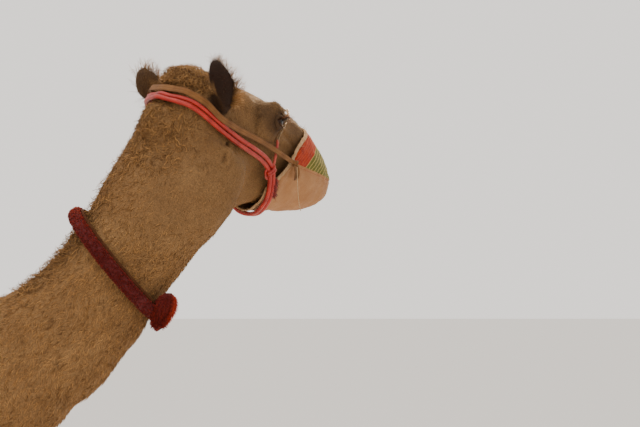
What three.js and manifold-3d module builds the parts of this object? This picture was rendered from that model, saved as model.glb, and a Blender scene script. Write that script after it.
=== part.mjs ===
// A standing dromedary camel, life size, head turned to its left, with a red wool collar,
// a doubled-rope halter and a muzzle bag held by a webbing strap.
// Millimetres. +X is forward, +Y the animal's left, +Z up, and the soles stand on z = 0.

import * as THREE from 'three';
import { mergeVertices } from 'three/addons/utils/BufferGeometryUtils.js';
import Module from 'manifold-3d';

const wasm = await Module();
wasm.setup();

// ---------------------------------------------------------------- driving dimensions

const CUT = 0.6;                          // gap left where one body node parts from the next
const FIT = 0.4;                          // gap between a set-in piece and its socket

const HEAD_AT = [884, 30, 2200];          // top of the poll
const HEAD_YAW = 50;                      // degrees the head is turned to the left
const HEAD_PITCH = 6;                     // degrees the nose points down
const HEAD_ROLL = 7;                      // degrees the head leans over to its right

const LEG_CUT_FORE = 990;                 // height where the fore legs part from the trunk
const LEG_CUT_HIND = 1075;                // height where the hind legs part from the trunk
const FOOT_CUT = 112;                     // height where the feet part from the legs
const HUMP_CUT = 1866;                    // height where the hump parts from the back
const TAIL_CUT = -1242;                   // x where the tail parts from the rump

const ROPE_R = 5.2;                       // one strand of the halter
const ROPE_LIFT = 9;                      // rope centre above the hide, over the pressed coat
const STRAND_PITCH = 12;                  // between the centres of the two strands
const CORD_R = 4.2;                       // noseband cord
const CORD_LIFT = 5.6;
const CHAIN_R = 4.5;                      // noseband chain over the nose
const STRAP_WIDTH = 17;                   // webbing strap of the muzzle bag over the poll
const STRAP_TIE = 12;                     // and where it is tied to the bag
const STRAP_THICK = 2.6;
const STRAP_LIFT = 5;
const STRAP_ROOM = 3.2;                   // least space under the middle of the strap
const COLLAR = { broad: 17, thick: 13, lift: 16.8 };   // wool pile collar, half sizes
const BAG_WALL = 3;                       // canvas of the muzzle bag

const EYE_R = 20.5;
const EYE_AT = [228, 87, -52];            // in the head's own frame, mirrored for the right

// ---------------------------------------------------------------- stations of the body

// trunk: x, top, bottom, half width
const TRUNK = [
  [-1236, 1545, 1400, 70], [-1215, 1600, 1300, 130], [-1150, 1668, 1215, 195],
  [-1030, 1735, 1178, 240], [-880, 1795, 1160, 258], [-700, 1835, 1110, 280],
  [-480, 1850, 1055, 303], [-260, 1856, 1015, 290], [-60, 1852, 1000, 262],
  [120, 1815, 1025, 232], [250, 1735, 1100, 190], [345, 1640, 1200, 135],
  [392, 1530, 1310, 62],
];

// hump: x, top, half width; it sinks to one level inside the back
const HUMP_BASE = 1600;
const HUMP = [
  [-880, 1780, 70], [-770, 1890, 130], [-640, 2018, 165], [-500, 2090, 172],
  [-350, 2052, 158], [-210, 1950, 125], [-80, 1840, 66],
];

// neck: x, y, z, half depth, half width
const NECK = [
  [190, 0, 1470, 250, 150], [310, 0, 1482, 238, 148], [420, 0, 1515, 202, 135],
  [505, 0, 1552, 174, 122], [575, 0, 1597, 155, 108], [648, 2, 1655, 142, 97],
  [712, 4, 1732, 132, 90], [765, 8, 1812, 129, 87], [812, 16, 1884, 134, 88],
  [857, 30, 1947, 143, 92], [890, 48, 2005, 146, 93], [908, 62, 2060, 136, 88],
];

// fore leg: z, x, y, front, back, half width
const FORE_LEG = [
  [1600, 60, 132, 96, 96, 56], [1400, 78, 178, 148, 128, 82], [1250, 45, 184, 146, 138, 86],
  [1120, -8, 168, 108, 106, 76], [1000, -5, 152, 78, 82, 60], [850, 5, 141, 58, 60, 47],
  [720, 5, 136, 50, 49, 42], [640, 8, 134, 56, 48, 48], [580, 11, 134, 60, 50, 51],
  [515, 6, 133, 47, 46, 43], [400, 2, 131, 33, 38, 31], [270, 2, 131, 33, 38, 32],
  [190, 6, 131, 42, 46, 43], [125, 20, 131, 48, 46, 50], [70, 28, 131, 78, 66, 74],
];

// hind leg: z, x, y, front, back, half width
const HIND_LEG = [
  [1600, -1060, 100, 100, 100, 55], [1430, -1035, 134, 168, 150, 88],
  [1290, -1000, 148, 166, 158, 98], [1160, -965, 153, 132, 138, 86],
  [1030, -972, 149, 92, 102, 64], [900, -1010, 146, 63, 68, 49], [790, -1054, 143, 49, 56, 40],
  [705, -1084, 141, 50, 55, 41], [620, -1084, 140, 45, 45, 37], [500, -1070, 139, 33, 36, 30],
  [350, -1055, 138, 32, 36, 30], [210, -1043, 137, 41, 45, 40], [125, -1027, 137, 46, 44, 46],
  [70, -1018, 137, 74, 62, 68],
];

// feet: z, front, back, half width
const FORE_PAD = [[120, 48, 46, 50], [84, 66, 58, 64], [54, 92, 76, 82], [24, 108, 88, 93], [0, 102, 84, 88]];
const HIND_PAD = [[120, 46, 43, 45], [84, 62, 54, 60], [54, 86, 70, 74], [24, 99, 79, 85], [0, 93, 75, 80]];

// how far each foot is set forward of square, and the line the legs hang from
const STANCE = { fore_right: 34, fore_left: -30, hind_right: -46, hind_left: 38 };
const SWING = { top: 1250, length: 1100 };    // a leg swings from this height down to its foot

// the cleft between the two toes, and the nail on each toe
const CLEFT = { r: 4, deep: 7, length: 200, lean: -18, ahead: 2, z: 20 };
const NAIL = { radii: [17, 15, 13], tilt: 38, splay: 24, back: 16, apart: 36, z: 32 };

// the boxes that part the legs and the hump from the rest of the body
const FAR = 3000;
const FORE_BOX = [-400, 500];
const HIND_BOX = [-FAR, -760];
const HUMP_BOX = [[-1000, -400, HUMP_CUT], [40, 400, 2300]];
const TAIL_BOX = [[-FAR, -300, 900], [TAIL_CUT, 300, 1700]];
const LID = { fore: 0, hind: -1000, y: 200, wide: 600, high: 200 };   // planes off a foot's top

// planes that part the head and the neck: a point on each, and its lean in degrees
const OCCIPUT = { at: [-47, 0, -46], lean: -27.5 };
const NECK_BASE = { at: [430, 0, 1500], lean: -32 };

// skull: x, top, bottom, half width, in the head's own frame
const SKULL = [
  [-40, -44, -165, 48], [-18, -10, -192, 74], [22, 12, -209, 86], [77, 12, -203, 88],
  [132, 14, -198, 88], [187, 11, -192, 86], [232, 3, -192, 78], [286, -6, -192, 67],
  [341, -16, -196, 57], [386, -32, -200, 51], [430, -72, -202, 47], [465, -104, -204, 40],
  [495, -134, -203, 28], [514, -160, -200, 12],
];

// lower jaw: x, top, bottom, half width
const JAW = [
  [14, -121, -212, 50], [60, -112, -262, 64], [110, -112, -290, 68], [150, -114, -299, 68],
  [190, -122, -282, 64], [224, -132, -263, 60], [264, -142, -250, 56], [341, -165, -238, 49],
  [418, -182, -228, 42], [460, -188, -218, 33], [488, -194, -210, 20],
];

// muzzle bag: x, top, bottom, half width of the canvas
const BAG = [
  [262, -14, -266, 74], [304, -16, -263, 73], [350, -22, -259, 71], [396, -36, -253, 69],
  [430, -56, -247, 66], [460, -78, -240, 61], [488, -100, -232, 53], [510, -120, -222, 42],
  [528, -138, -210, 28], [541, -154, -198, 12],
];
const BAG_MOUTH = { x: 405, z: -50, lean: 0.9 };    // the rim leans back 0.9 for 1 down

// ---------------------------------------------------------------- colours

const hide = (name, color) => new THREE.MeshStandardMaterial({ name, color, roughness: 0.9 });
const COAT = hide('short tan coat', 0x9a7346);
const COAT_DARK = hide('dark brown coat', 0x5b3d22);
const HORN = new THREE.MeshStandardMaterial({ name: 'nail horn', color: 0x2f261d, roughness: 0.5 });
const EYE = new THREE.MeshStandardMaterial({ name: 'dark eye', color: 0x1a0f08, roughness: 0.05 });
const WOOL = new THREE.MeshStandardMaterial({ name: 'red wool', color: 0xa01c1e, roughness: 1 });
const PINK_ROPE = new THREE.MeshStandardMaterial({ name: 'pink rope', color: 0xb8475a, roughness: 0.8 });
const STEEL = new THREE.MeshStandardMaterial({
  name: 'steel chain', color: 0xb9bbbd, roughness: 0.3, metalness: 1,
});
const WEBBING = new THREE.MeshStandardMaterial({ name: 'brown webbing', color: 0x6d5340, roughness: 0.9 });
const CANVAS = new THREE.MeshStandardMaterial({ name: 'banded canvas', color: 0x8a5f3a, roughness: 0.9 });
const STRING_LOOK = new THREE.MeshStandardMaterial({ name: 'pale string', color: 0xc9bfae, roughness: 0.9 });

// ---------------------------------------------------------------- solids from geometry

const X = new THREE.Vector3(1, 0, 0);
const Y = new THREE.Vector3(0, 1, 0);
const Z = new THREE.Vector3(0, 0, 1);
const v = (x, y, z) => new THREE.Vector3(x, y, z);

function solid(geometry) {
  const bare = geometry.clone();
  bare.deleteAttribute('normal');
  bare.deleteAttribute('uv');
  const merged = mergeVertices(bare, 1e-3);
  const body = new wasm.Manifold(new wasm.Mesh({
    numProp: 3,
    vertProperties: new Float32Array(merged.attributes.position.array),
    triVerts: new Uint32Array(merged.index.array),
  }));
  return body;
}

function geometryOf(body) {
  const mesh = body.getMesh();
  const geometry = new THREE.BufferGeometry();
  const count = mesh.vertProperties.length / mesh.numProp;
  const positions = new Float32Array(count * 3);
  for (let i = 0; i < count; i += 1) {
    for (let k = 0; k < 3; k += 1) positions[3 * i + k] = mesh.vertProperties[i * mesh.numProp + k];
  }
  geometry.setAttribute('position', new THREE.BufferAttribute(positions, 3));
  geometry.setIndex(new THREE.BufferAttribute(new Uint32Array(mesh.triVerts), 1));
  geometry.computeVertexNormals();
  return geometry;
}

const join = (...bodies) => bodies.reduce((all, body) => all.add(body));

// Moves every vertex of a geometry through one function of its old position.
function deform(geometry, place) {
  const position = geometry.attributes.position;
  const p = new THREE.Vector3();
  for (let i = 0; i < position.count; i += 1) {
    p.fromBufferAttribute(position, i);
    const q = place(p, i);
    position.setXYZ(i, q.x, q.y, q.z);
  }
  return geometry;
}

// A closed cylinder bent along its stations, each { c, up, down, side }: centre, reach to the
// two faces and half width. taper narrows the upper half, square fills out the section.
function loft(stations, options = {}) {
  const { sides = 24, rings = 24, taper = 0, side = Y, axis = null, square = 0 } = options;
  const path = new THREE.CatmullRomCurve3(stations.map((s) => s.c));
  const size = new THREE.CatmullRomCurve3(stations.map((s) => v(s.up, s.down, s.side)));
  const geometry = new THREE.CylinderGeometry(1, 1, 1, sides, rings);
  return deform(geometry, (p) => {
    const t = THREE.MathUtils.clamp(p.y + 0.5, 0, 1);
    const centre = path.getPoint(t);
    const reach = size.getPoint(t);
    const along = axis ? axis.clone() : path.getTangent(t);
    const across = side.clone().addScaledVector(along, -side.dot(along)).normalize();
    const up = along.clone().cross(across).normalize();
    const fill = 1 + square * 4 * (p.x * p.z) ** 2;
    const width = reach.z * (1 - taper * p.z) * fill;
    const height = (p.z > 0 ? reach.x : reach.y) * fill;
    return centre.addScaledVector(across, -p.x * width).addScaledVector(up, p.z * height);
  });
}

const upright = ([x, top, bottom, half]) => ({
  c: v(x, 0, (top + bottom) / 2), up: (top - bottom) / 2, down: (top - bottom) / 2, side: half,
});

function ellipsoid(at, radii, [across, down] = [8, 6]) {
  const geometry = new THREE.SphereGeometry(1, across, down);
  geometry.scale(...radii);
  geometry.translate(...at);
  return geometry;
}

// ---------------------------------------------------------------- the head's own frame

const DEG = THREE.MathUtils.degToRad;
const headFrame = new THREE.Matrix4()
  .makeTranslation(...HEAD_AT)
  .multiply(new THREE.Matrix4().makeRotationZ(DEG(HEAD_YAW)))
  .multiply(new THREE.Matrix4().makeRotationY(DEG(HEAD_PITCH)))
  .multiply(new THREE.Matrix4().makeRotationX(DEG(HEAD_ROLL)));
const inHead = (geometry) => geometry.applyMatrix4(headFrame);
const headPoint = ([x, y, z]) => v(x, y, z).applyMatrix4(headFrame);

// ---------------------------------------------------------------- trunk, hump, neck, tail

const trunk = solid(loft(TRUNK.map(upright), { sides: 18, rings: 13, taper: 0.22, axis: X }));
const hump = solid(loft(
  HUMP.map(([x, top, half]) => upright([x, top, HUMP_BASE, half])),
  { sides: 14, rings: 9, taper: 0.42, axis: X },
));
const neckRows = (grow) => NECK.map(([x, y, z, deep, half]) => ({
  c: v(x, y, z), up: deep + grow, down: deep + grow, side: half + grow,
}));
const neck = solid(loft(neckRows(0), { sides: 16, rings: 14 }));

const TAIL = [[-1195, 1600, 34], [-1240, 1572, 30], [-1268, 1500, 24], [-1278, 1400, 20],
  [-1280, 1290, 19], [-1279, 1200, 27], [-1278, 1130, 30], [-1277, 1070, 22], [-1276, 1030, 8]];
const tail = solid(loft(
  TAIL.map(([x, z, r]) => ({ c: v(x, 0, z), up: r, down: r, side: r * 0.9 })),
  { sides: 8, rings: 14 },
));

// ---------------------------------------------------------------- legs and feet

// The foot goes forward with its stance; the upper leg stays under the body.
const stride = (z, ahead) => (
  ahead * THREE.MathUtils.clamp((SWING.top - z) / SWING.length, 0, 1));

function leg(stations, which) {
  const hand = which.endsWith('left') ? 1 : -1;
  const ahead = STANCE[which];
  const rows = stations.map(([z, x, y, front, back, half]) => ({
    c: v(x + stride(z, ahead), hand * y, z), up: front, down: back, side: half,
  }));
  return solid(loft(rows, { sides: 10, rings: 15, axis: Z.clone().negate() }));
}

function foot(pad, stations, which) {
  const hand = which.endsWith('left') ? 1 : -1;
  const [, x, y] = stations[stations.length - 1];
  const ahead = x + STANCE[which];
  const rows = pad.map(([z, front, back, half]) => ({
    c: v(ahead, hand * y, z), up: front, down: back, side: half,
  }));
  const body = solid(loft(rows, { sides: 14, rings: 4, axis: Z.clone().negate() }));
  const front = pad[3][1];
  const cleft = new THREE.CylinderGeometry(CLEFT.r, CLEFT.r, CLEFT.length, 6);
  cleft.scale(CLEFT.deep, 1, 1);
  cleft.rotateX(Math.PI / 2);
  cleft.rotateY(DEG(CLEFT.lean));
  cleft.translate(ahead + front + CLEFT.ahead, hand * y, CLEFT.z);
  return body.subtract(solid(cleft));
}

// Two nails stand on the front of each pad, one to a toe.
function nails(pad, stations, which, grow = 0) {
  const hand = which.endsWith('left') ? 1 : -1;
  const [, x, y] = stations[stations.length - 1];
  const front = pad[3][1];
  return [-1, 1].map((toe) => {
    const nail = new THREE.SphereGeometry(1, 7, 5);
    nail.scale(...NAIL.radii.map((radius) => radius + grow));
    nail.rotateY(DEG(NAIL.tilt));
    nail.rotateZ(DEG(NAIL.splay * toe));
    nail.translate(x + STANCE[which] + front - NAIL.back, hand * y + toe * NAIL.apart, NAIL.z);
    return solid(nail);
  });
}

const LIMBS = {
  fore_right: [FORE_LEG, FORE_PAD], fore_left: [FORE_LEG, FORE_PAD],
  hind_right: [HIND_LEG, HIND_PAD], hind_left: [HIND_LEG, HIND_PAD],
};

// ---------------------------------------------------------------- head

const headRow = ([x, top, bottom, half]) => upright([x, top, bottom, half]);
const skull = solid(inHead(loft(SKULL.map(headRow), { sides: 16, rings: 16, square: 0.1, axis: X })));
const jaw = solid(inHead(loft(JAW.map(headRow), { sides: 14, rings: 12, square: 0.06, axis: X })));
const both = [-1, 1];
const lumps = [
  ...both.map((s) => ellipsoid([224, s * 72, -44], [54, 32, 40])),        // brow and orbit
  ...both.map((s) => ellipsoid([152, s * 52, -40], [84, 34, 50])),        // temple
  ...both.map((s) => ellipsoid([128, s * 50, -176], [84, 36, 82])),       // cheek muscle
  ...both.map((s) => ellipsoid([62, s * 70, -62], [30, 24, 30])),         // root of the ear
  ...both.map((s) => ellipsoid([438, s * 22, -140], [42, 22, 30])),       // nostril
  ellipsoid([480, 0, -178], [30, 28, 24]),                                // split upper lip
  ellipsoid([24, 0, -8], [74, 66, 48]),                                   // woolly crown
  ellipsoid([-26, 4, -124], [72, 64, 84]),                                // nape below the poll
].map((lump) => solid(inHead(lump)));

// ---------------------------------------------------------------- ears

// Each ear is a cupped leaf from its root to its tip, its hollow facing "open".
const EARS = {
  ear_right: { root: [60, -88, -54], tip: [-16, -112, 42], open: [0.95, 0.1, 0.2], hand: -1 },
  ear_left: { root: [60, 91, -47], tip: [-8, 136, 10], open: [0.92, 0.3, 0.2], hand: 1 },
};
// leaf: share of the length, half depth, half width
const EAR_LEAF = [
  [0, 17, 15], [0.16, 20, 20], [0.36, 23, 28], [0.56, 23, 32], [0.76, 20, 29], [0.9, 15, 20],
  [1, 8, 9],
];
const EAR_STUB = 22;                      // the root that stays on the head
const EAR_BELLY = 10;                     // the outer edge bulges, the inner one is straight

function earBodies({ root, tip, open, hand }) {
  const from = headPoint(root);
  const to = headPoint(tip);
  const facing = v(...open).transformDirection(headFrame);
  const along = to.clone().sub(from).normalize();
  const hollow = facing.addScaledVector(along, -facing.dot(along)).normalize();
  const side = hollow.clone().cross(along).normalize();
  const outward = Math.sign(side.dot(v(0, hand, 0).transformDirection(headFrame)));
  const leaf = (shift, shrink, start) => EAR_LEAF.map(([t, deep, half]) => {
    const belly = Math.sin(Math.PI * t) * EAR_BELLY * outward;
    return {
      c: from.clone().lerp(to, start + t * (1 - start))
        .addScaledVector(hollow, shift)
        .addScaledVector(side, belly),
      up: deep * shrink, down: deep * shrink, side: half * shrink,
    };
  });
  const outer = solid(loft(leaf(0, 1, 0), { side, axis: along, sides: 10, rings: 7 }));
  const cup = solid(loft(leaf(19, 0.94, 0.2), { side, axis: along, sides: 10, rings: 7 }));
  const box = new THREE.BoxGeometry(220, 220, 220);
  box.translate(0, 0, 110);
  box.applyQuaternion(new THREE.Quaternion().setFromUnitVectors(Z, along));
  const lid = from.clone().addScaledVector(along, EAR_STUB);
  return { body: outer.subtract(cup), lid, box, along };
}

// ---------------------------------------------------------------- join, then part in nodes

let rest = join(trunk, hump, neck, tail, skull, jaw, ...lumps);
for (const [which, [stations]] of Object.entries(LIMBS)) rest = rest.add(leg(stations, which));

const pieces = {};

// Lifts everything inside a box out of the rest of the body, with a cut's width between.
function take(name, from, to, frame = new THREE.Matrix4()) {
  const region = (gap) => {
    const size = to.map((b, i) => b - from[i] + 2 * gap);
    const box = new THREE.BoxGeometry(...size);
    box.translate(...from.map((a, i) => (a + to[i]) / 2));
    return solid(box.applyMatrix4(frame));
  };
  pieces[name] = rest.intersect(region(0));
  rest = rest.subtract(region(CUT));
}

// feet replace the ends of the legs, and carry sockets for their nails
take('tail', ...TAIL_BOX);
for (const [which, [stations, pad]] of Object.entries(LIMBS)) {
  const left = which.endsWith('left');
  const fore = which.startsWith('fore');
  const y = left ? [CUT / 2, FAR] : [-FAR, -CUT / 2];
  const x = fore ? FORE_BOX : HIND_BOX;
  const top = fore ? LEG_CUT_FORE : LEG_CUT_HIND;
  take(`leg_${which}`, [x[0], y[0], FOOT_CUT], [x[1], y[1], top]);
  take(`stub_${which}`, [x[0], y[0], -10], [x[1], y[1], FOOT_CUT - CUT]);
  delete pieces[`stub_${which}`];
  const lid = new THREE.BoxGeometry(LID.wide, LID.wide, LID.high);
  lid.translate(fore ? LID.fore : LID.hind, left ? LID.y : -LID.y, FOOT_CUT - CUT + LID.high / 2);
  let pad3d = foot(pad, stations, which).subtract(solid(lid));
  nails(pad, stations, which, FIT).forEach((socket) => { pad3d = pad3d.subtract(socket); });
  pieces[`foot_${which}`] = pad3d;
  nails(pad, stations, which).forEach((nail, i) => {
    pieces[`nail_${which}_${i === (left ? 0 : 1) ? 'inner' : 'outer'}`] = nail;
  });
}
take('hump', ...HUMP_BOX);

// the head parts from the neck on a plane from behind the poll to behind the jaw
const plane = ({ at, lean }) => new THREE.Matrix4().makeTranslation(...at)
  .multiply(new THREE.Matrix4().makeRotationY(DEG(lean)));
take('head', [0, -300, -420], [800, 300, 320], headFrame.clone().multiply(plane(OCCIPUT)));
take('neck', [0, -300, -500], [900, 300, 700], plane(NECK_BASE));
pieces.trunk = rest;

for (const s of both) {
  const side = s > 0 ? 'left' : 'right';
  const at = [EYE_AT[0], s * EYE_AT[1], EYE_AT[2]];
  pieces[`eye_${side}`] = solid(inHead(ellipsoid(at, [EYE_R, EYE_R, EYE_R], [12, 8])));
  const socket = EYE_R + FIT;
  pieces.head = pieces.head.subtract(solid(inHead(ellipsoid(at, [socket, socket, socket], [12, 8]))));
}

for (const [name, ear] of Object.entries(EARS)) {
  const { body, lid, box, along } = earBodies(ear);
  const above = (gap) => {
    const from = lid.clone().addScaledVector(along, gap);
    return solid(box.clone().translate(...from.toArray()));
  };
  pieces.head = pieces.head.add(body.subtract(above(0)));
  pieces[name] = body.intersect(above(CUT));
}

// ---------------------------------------------------------------- what it wears

// Everything laid on the head goes over what is already there.
const target = new THREE.Group();
const caster = new THREE.Raycaster();
const REACH = 14;                         // how high over a line its edges are felt for
function over(name) {
  target.add(new THREE.Mesh(geometryOf(pieces[name]), new THREE.MeshBasicMaterial()));
  target.updateMatrixWorld(true);
}
function put(name, body) {
  pieces[name] = body;
  over(name);
}
['head', 'neck'].forEach(over);
const handOf = (s) => (s > 0 ? 'left' : 'right');

// Distance from an inner point out to the hide, along the ray through an outer point.
function hideReach(inner, outer) {
  const dir = outer.clone().sub(inner).normalize();
  caster.set(inner.clone().addScaledVector(dir, 600), dir.clone().negate());
  const hits = caster.intersectObject(target, true);
  if (!hits.length) return { dir, reach: 0, normal: dir.clone() };
  return { dir, reach: 600 - hits[0].distance, normal: hits[0].face.normal.clone() };
}

// A taut line over the hide: guides are pairs [outer, inner]; the line keeps "lift" off it.
function lay(guides, count, lift, closed) {
  const outer = new THREE.CatmullRomCurve3(guides.map((g) => g[0]), closed);
  const inner = new THREE.CatmullRomCurve3(guides.map((g) => g[1]), closed);
  const last = closed ? count : count - 1;
  const rays = [];
  for (let i = 0; i < count; i += 1) {
    const t = i / last;
    const from = inner.getPoint(t);
    const { dir, reach, normal } = hideReach(from, outer.getPoint(t));
    const least = reach + lift / Math.max(normal.dot(dir), 0.6);
    rays.push({ from, dir, normal, least, at: least });
  }
  const near = (i) => rays[closed ? (i + count) % count : THREE.MathUtils.clamp(i, 0, last)];
  const spot = (ray) => ray.from.clone().addScaledVector(ray.dir, ray.at);
  for (let pass = 0; pass < 60; pass += 1) {
    for (let i = 0; i < count; i += 1) {
      const mid = spot(near(i - 1)).add(spot(near(i + 1))).multiplyScalar(0.5);
      const ray = rays[i];
      ray.at = Math.max(ray.least, mid.sub(ray.from).dot(ray.dir));
    }
  }
  const out = (i) => [-2, -1, 0, 1, 2]
    .reduce((sum, d) => sum.add(near(i + d).normal), v(0, 0, 0)).normalize();
  return rays.map((ray, i) => ({ at: spot(ray), out: out(i) }));
}

// Lifts a band's line until both its edges clear by "room" all that it lies on.
function clearEdges(line, halfWidth, room, closed) {
  const n = line.length;
  const near = (list, i) => list[closed ? (i + n) % n : THREE.MathUtils.clamp(i, 0, n - 1)];
  const rise = line.map(({ at, out }, i) => {
    const along = near(line, i + 1).at.clone().sub(near(line, i - 1).at);
    const across = along.cross(out).normalize();
    return [-1, -0.5, 0, 0.5, 1].reduce((most, a) => {
      const from = at.clone().addScaledVector(across, a * halfWidth).addScaledVector(out, REACH);
      caster.set(from, out.clone().negate());
      const hits = caster.intersectObject(target, true);
      return hits.length ? Math.max(most, REACH - hits[0].distance + room) : most;
    }, 0);
  });
  let eased = rise;
  for (let pass = 0; pass < 6; pass += 1) {
    const last = eased;
    eased = last.map((r, i) => Math.max(rise[i], (near(last, i - 1) + near(last, i + 1)) / 2));
  }
  return line.map(({ at, out }, i) => ({ at: at.clone().addScaledVector(out, eased[i]), out }));
}

// A band swept along a laid line: "section" gives each corner's [across, out] offset.
function sweep(line, section, closed) {
  const n = line.length;
  const k = section(0).length;
  const rows = line.map(({ at, out }, i) => {
    const ahead = line[closed ? (i + 1) % n : Math.min(i + 1, n - 1)].at;
    const behind = line[closed ? (i - 1 + n) % n : Math.max(i - 1, 0)].at;
    const along = ahead.clone().sub(behind).normalize();
    const lift = out.clone().addScaledVector(along, -out.dot(along)).normalize();
    const across = along.clone().cross(lift);
    return section(i / (n - 1)).map(([a, o]) => (
      at.clone().addScaledVector(across, a).addScaledVector(lift, o)));
  });
  const geometry = closed
    ? new THREE.TorusGeometry(1, 0.4, k, n)
    : new THREE.CylinderGeometry(1, 1, 1, k, n - 1);
  if (closed) {
    return deform(geometry, (p, i) => rows[(i % (n + 1)) % n][Math.floor(i / (n + 1)) % k]);
  }
  const wall = (k + 1) * n;
  const centre = (row) => row.reduce((sum, p) => sum.add(p), v(0, 0, 0)).divideScalar(k);
  return deform(geometry, (p, i) => {
    if (i < wall) return rows[Math.floor(i / (k + 1))][(i % (k + 1)) % k].clone();
    const row = p.y > 0 ? rows[0] : rows[n - 1];
    if (Math.hypot(p.x, p.z) < 0.5) return centre(row);
    const turn = Math.round(Math.atan2(p.x, p.z) / (2 * Math.PI / k));
    return row[(turn + k) % k].clone();
  });
}

const oval = (broad, thick, sides, shift = 0) => () => Array.from({ length: sides }, (_, j) => {
  const a = 2 * Math.PI * j / sides;
  return [shift + broad * Math.cos(a), thick * Math.sin(a)];
});
const round = (r, shift = 0) => oval(r, r, 6, shift);
const flat = (width, thick) => (t) => {
  const w = width(t) / 2;
  const h = thick / 2;
  return [[w, -h], [w, h], [-w, h], [-w, -h]];
};

// Guides for the right side of the head, poll to jaw, as [outer, inner] in the head's frame.
const mirror = ([o, i]) => [[o[0], -o[1], o[2]], [i[0], -i[1], i[2]]];
const world = (pairs) => pairs.map(([o, i]) => [headPoint(o), headPoint(i)]);
const ringOf = (rows) => world([...rows, ...rows.slice(1, -1).reverse().map(mirror)]);
const archOf = (rows) => world([...rows.slice().reverse(), ...rows.slice(1).map(mirror)]);

// The canvas bag is a shell open behind, cut on its slanted mouth.
const bagLoft = (wall) => solid(inHead(loft(
  BAG.map(([x, top, bottom, side]) => upright([x - wall, top - wall, bottom + wall, side - wall])),
  { sides: 16, rings: 8, square: 0.06, axis: X },
)));
const mouth = new THREE.BoxGeometry(500, 500, 800);
mouth.translate(-250, 0, 0);
mouth.rotateY(Math.atan(BAG_MOUTH.lean));
mouth.translate(BAG_MOUTH.x, 0, BAG_MOUTH.z);
put('muzzle_bag', bagLoft(0).subtract(bagLoft(BAG_WALL)).subtract(solid(inHead(mouth))));

// The noseband: a cord up from each knot, and a chain over the nose between them.
const CORD = [
  [[268, -120, -150], [262, -12, -144]],
  [[268, -120, -130], [262, -12, -130]],
  [[266, -120, -104], [262, -12, -116]],
  [[263, -120, -84], [260, -12, -104]],
];
const CHAIN = [
  [[265, -120, -66], [262, -12, -98]],
  [[294, -96, -26], [288, -12, -84]],
  [[330, -60, 20], [320, -8, -70]],
  [[352, 0, 40], [342, 0, -70]],
];
for (const s of both) {
  const rows = s > 0 ? CORD.map(mirror) : CORD;
  const line = lay(world(rows), 8, CORD_LIFT, false);
  put(`noseband_cord_${handOf(s)}`, solid(sweep(line, round(CORD_R), false)));
}
const chainLine = lay(archOf(CHAIN.slice().reverse()), 21, CORD_LIFT, false);
put('noseband_chain', solid(sweep(chainLine, round(CHAIN_R), false)));

// The halter is one rope doubled round the head, over the poll and under the jaw.
const HALTER = [
  [[-70, 0, -38], [30, 0, -110]],
  [[-52, -50, -44], [30, -8, -112]],
  [[-16, -96, -58], [36, -10, -110]],
  [[40, -120, -86], [62, -12, -112]],
  [[78, -120, -101], [90, -12, -120]],
  [[116, -120, -115], [122, -12, -124]],
  [[167, -120, -129], [168, -12, -132]],
  [[219, -110, -145], [216, -12, -144]],
  [[254, -100, -170], [252, -12, -164]],
  [[268, -96, -206], [264, -12, -176]],
  [[280, -64, -262], [274, -10, -188]],
  [[286, 0, -290], [280, 0, -190]],
];
const halterLine = clearEdges(
  lay(ringOf(HALTER), 44, ROPE_LIFT, true),
  STRAND_PITCH / 2 + ROPE_R,
  ROPE_R + 1.2,
  true,
);
const half = STRAND_PITCH / 2;
const strand = (shift, grow = 0) => solid(sweep(halterLine, round(ROPE_R + grow, shift), true));
put('halter_rope_back', strand(-half));
put('halter_rope_front', strand(half));

// A whipped knot binds the two strands on each cheek.
const KNOT_AT = [252, 66, -167];
const WHIPPING = { section: oval(15.4, 8.3, 10), reach: 1 };   // reach: line points each side
const halterAt = (place) => halterLine.reduce((best, point, i) => {
  const away = point.at.distanceTo(place);
  return away < best.away ? { away, i } : best;
}, { away: Infinity, i: 0 }).i;
for (const s of both) {
  const at = halterAt(headPoint([KNOT_AT[0], s * KNOT_AT[1], KNOT_AT[2]]));
  const span = Array.from({ length: 2 * WHIPPING.reach + 1 }, (_, d) => (
    halterLine[(at + d - WHIPPING.reach + halterLine.length) % halterLine.length]));
  put(`halter_whipping_${handOf(s)}`, solid(sweep(span, WHIPPING.section, false))
    .subtract(strand(half, FIT))
    .subtract(strand(-half, FIT)));
}

// The webbing strap runs from the bag's knot on one cheek over the poll to the other.
const STRAP = [
  [[-49, 0, -23], [34, 0, -110]],
  [[-36, -46, -30], [34, -8, -110]],
  [[2, -96, -47], [42, -10, -108]],
  [[37, -120, -66], [62, -12, -105]],
  [[84, -120, -81], [92, -12, -107]],
  [[140, -120, -91], [142, -12, -111]],
  [[190, -120, -100], [190, -12, -113]],
  [[226, -120, -108], [224, -12, -117]],
  [[268, -120, -120], [264, -12, -124]],
  [[313, -120, -133], [307, -12, -132]],
];
const strapLine = clearEdges(
  lay(archOf(STRAP), 49, STRAP_LIFT, false),
  STRAP_WIDTH / 2 + 1,
  STRAP_ROOM,
  false,
);
const strapWidth = (t) => THREE.MathUtils.lerp(STRAP_WIDTH, STRAP_TIE, Math.abs(2 * t - 1));
put('muzzle_strap', solid(sweep(strapLine, flat(strapWidth, STRAP_THICK), false)));

// A knot ties the strap to the rim of the bag on each cheek.
const TIE = [[334, -130, -139], [332, -12, -134]];
const TIE_SIZE = [10.5, 8, 9];
const tieAt = (s) => {
  const [outer, inner] = world([s > 0 ? mirror(TIE) : TIE])[0];
  const { dir, reach } = hideReach(inner, outer);
  return inner.clone().addScaledVector(dir, reach + TIE_SIZE[1] + 1);
};
const ties = both.map(tieAt);
both.forEach((s, i) => {
  const knot = ellipsoid([0, 0, 0], TIE_SIZE);
  knot.rotateZ(DEG(HEAD_YAW));
  knot.translate(...ties[i].toArray());
  put(`muzzle_knot_${handOf(s)}`, solid(knot));
});

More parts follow.
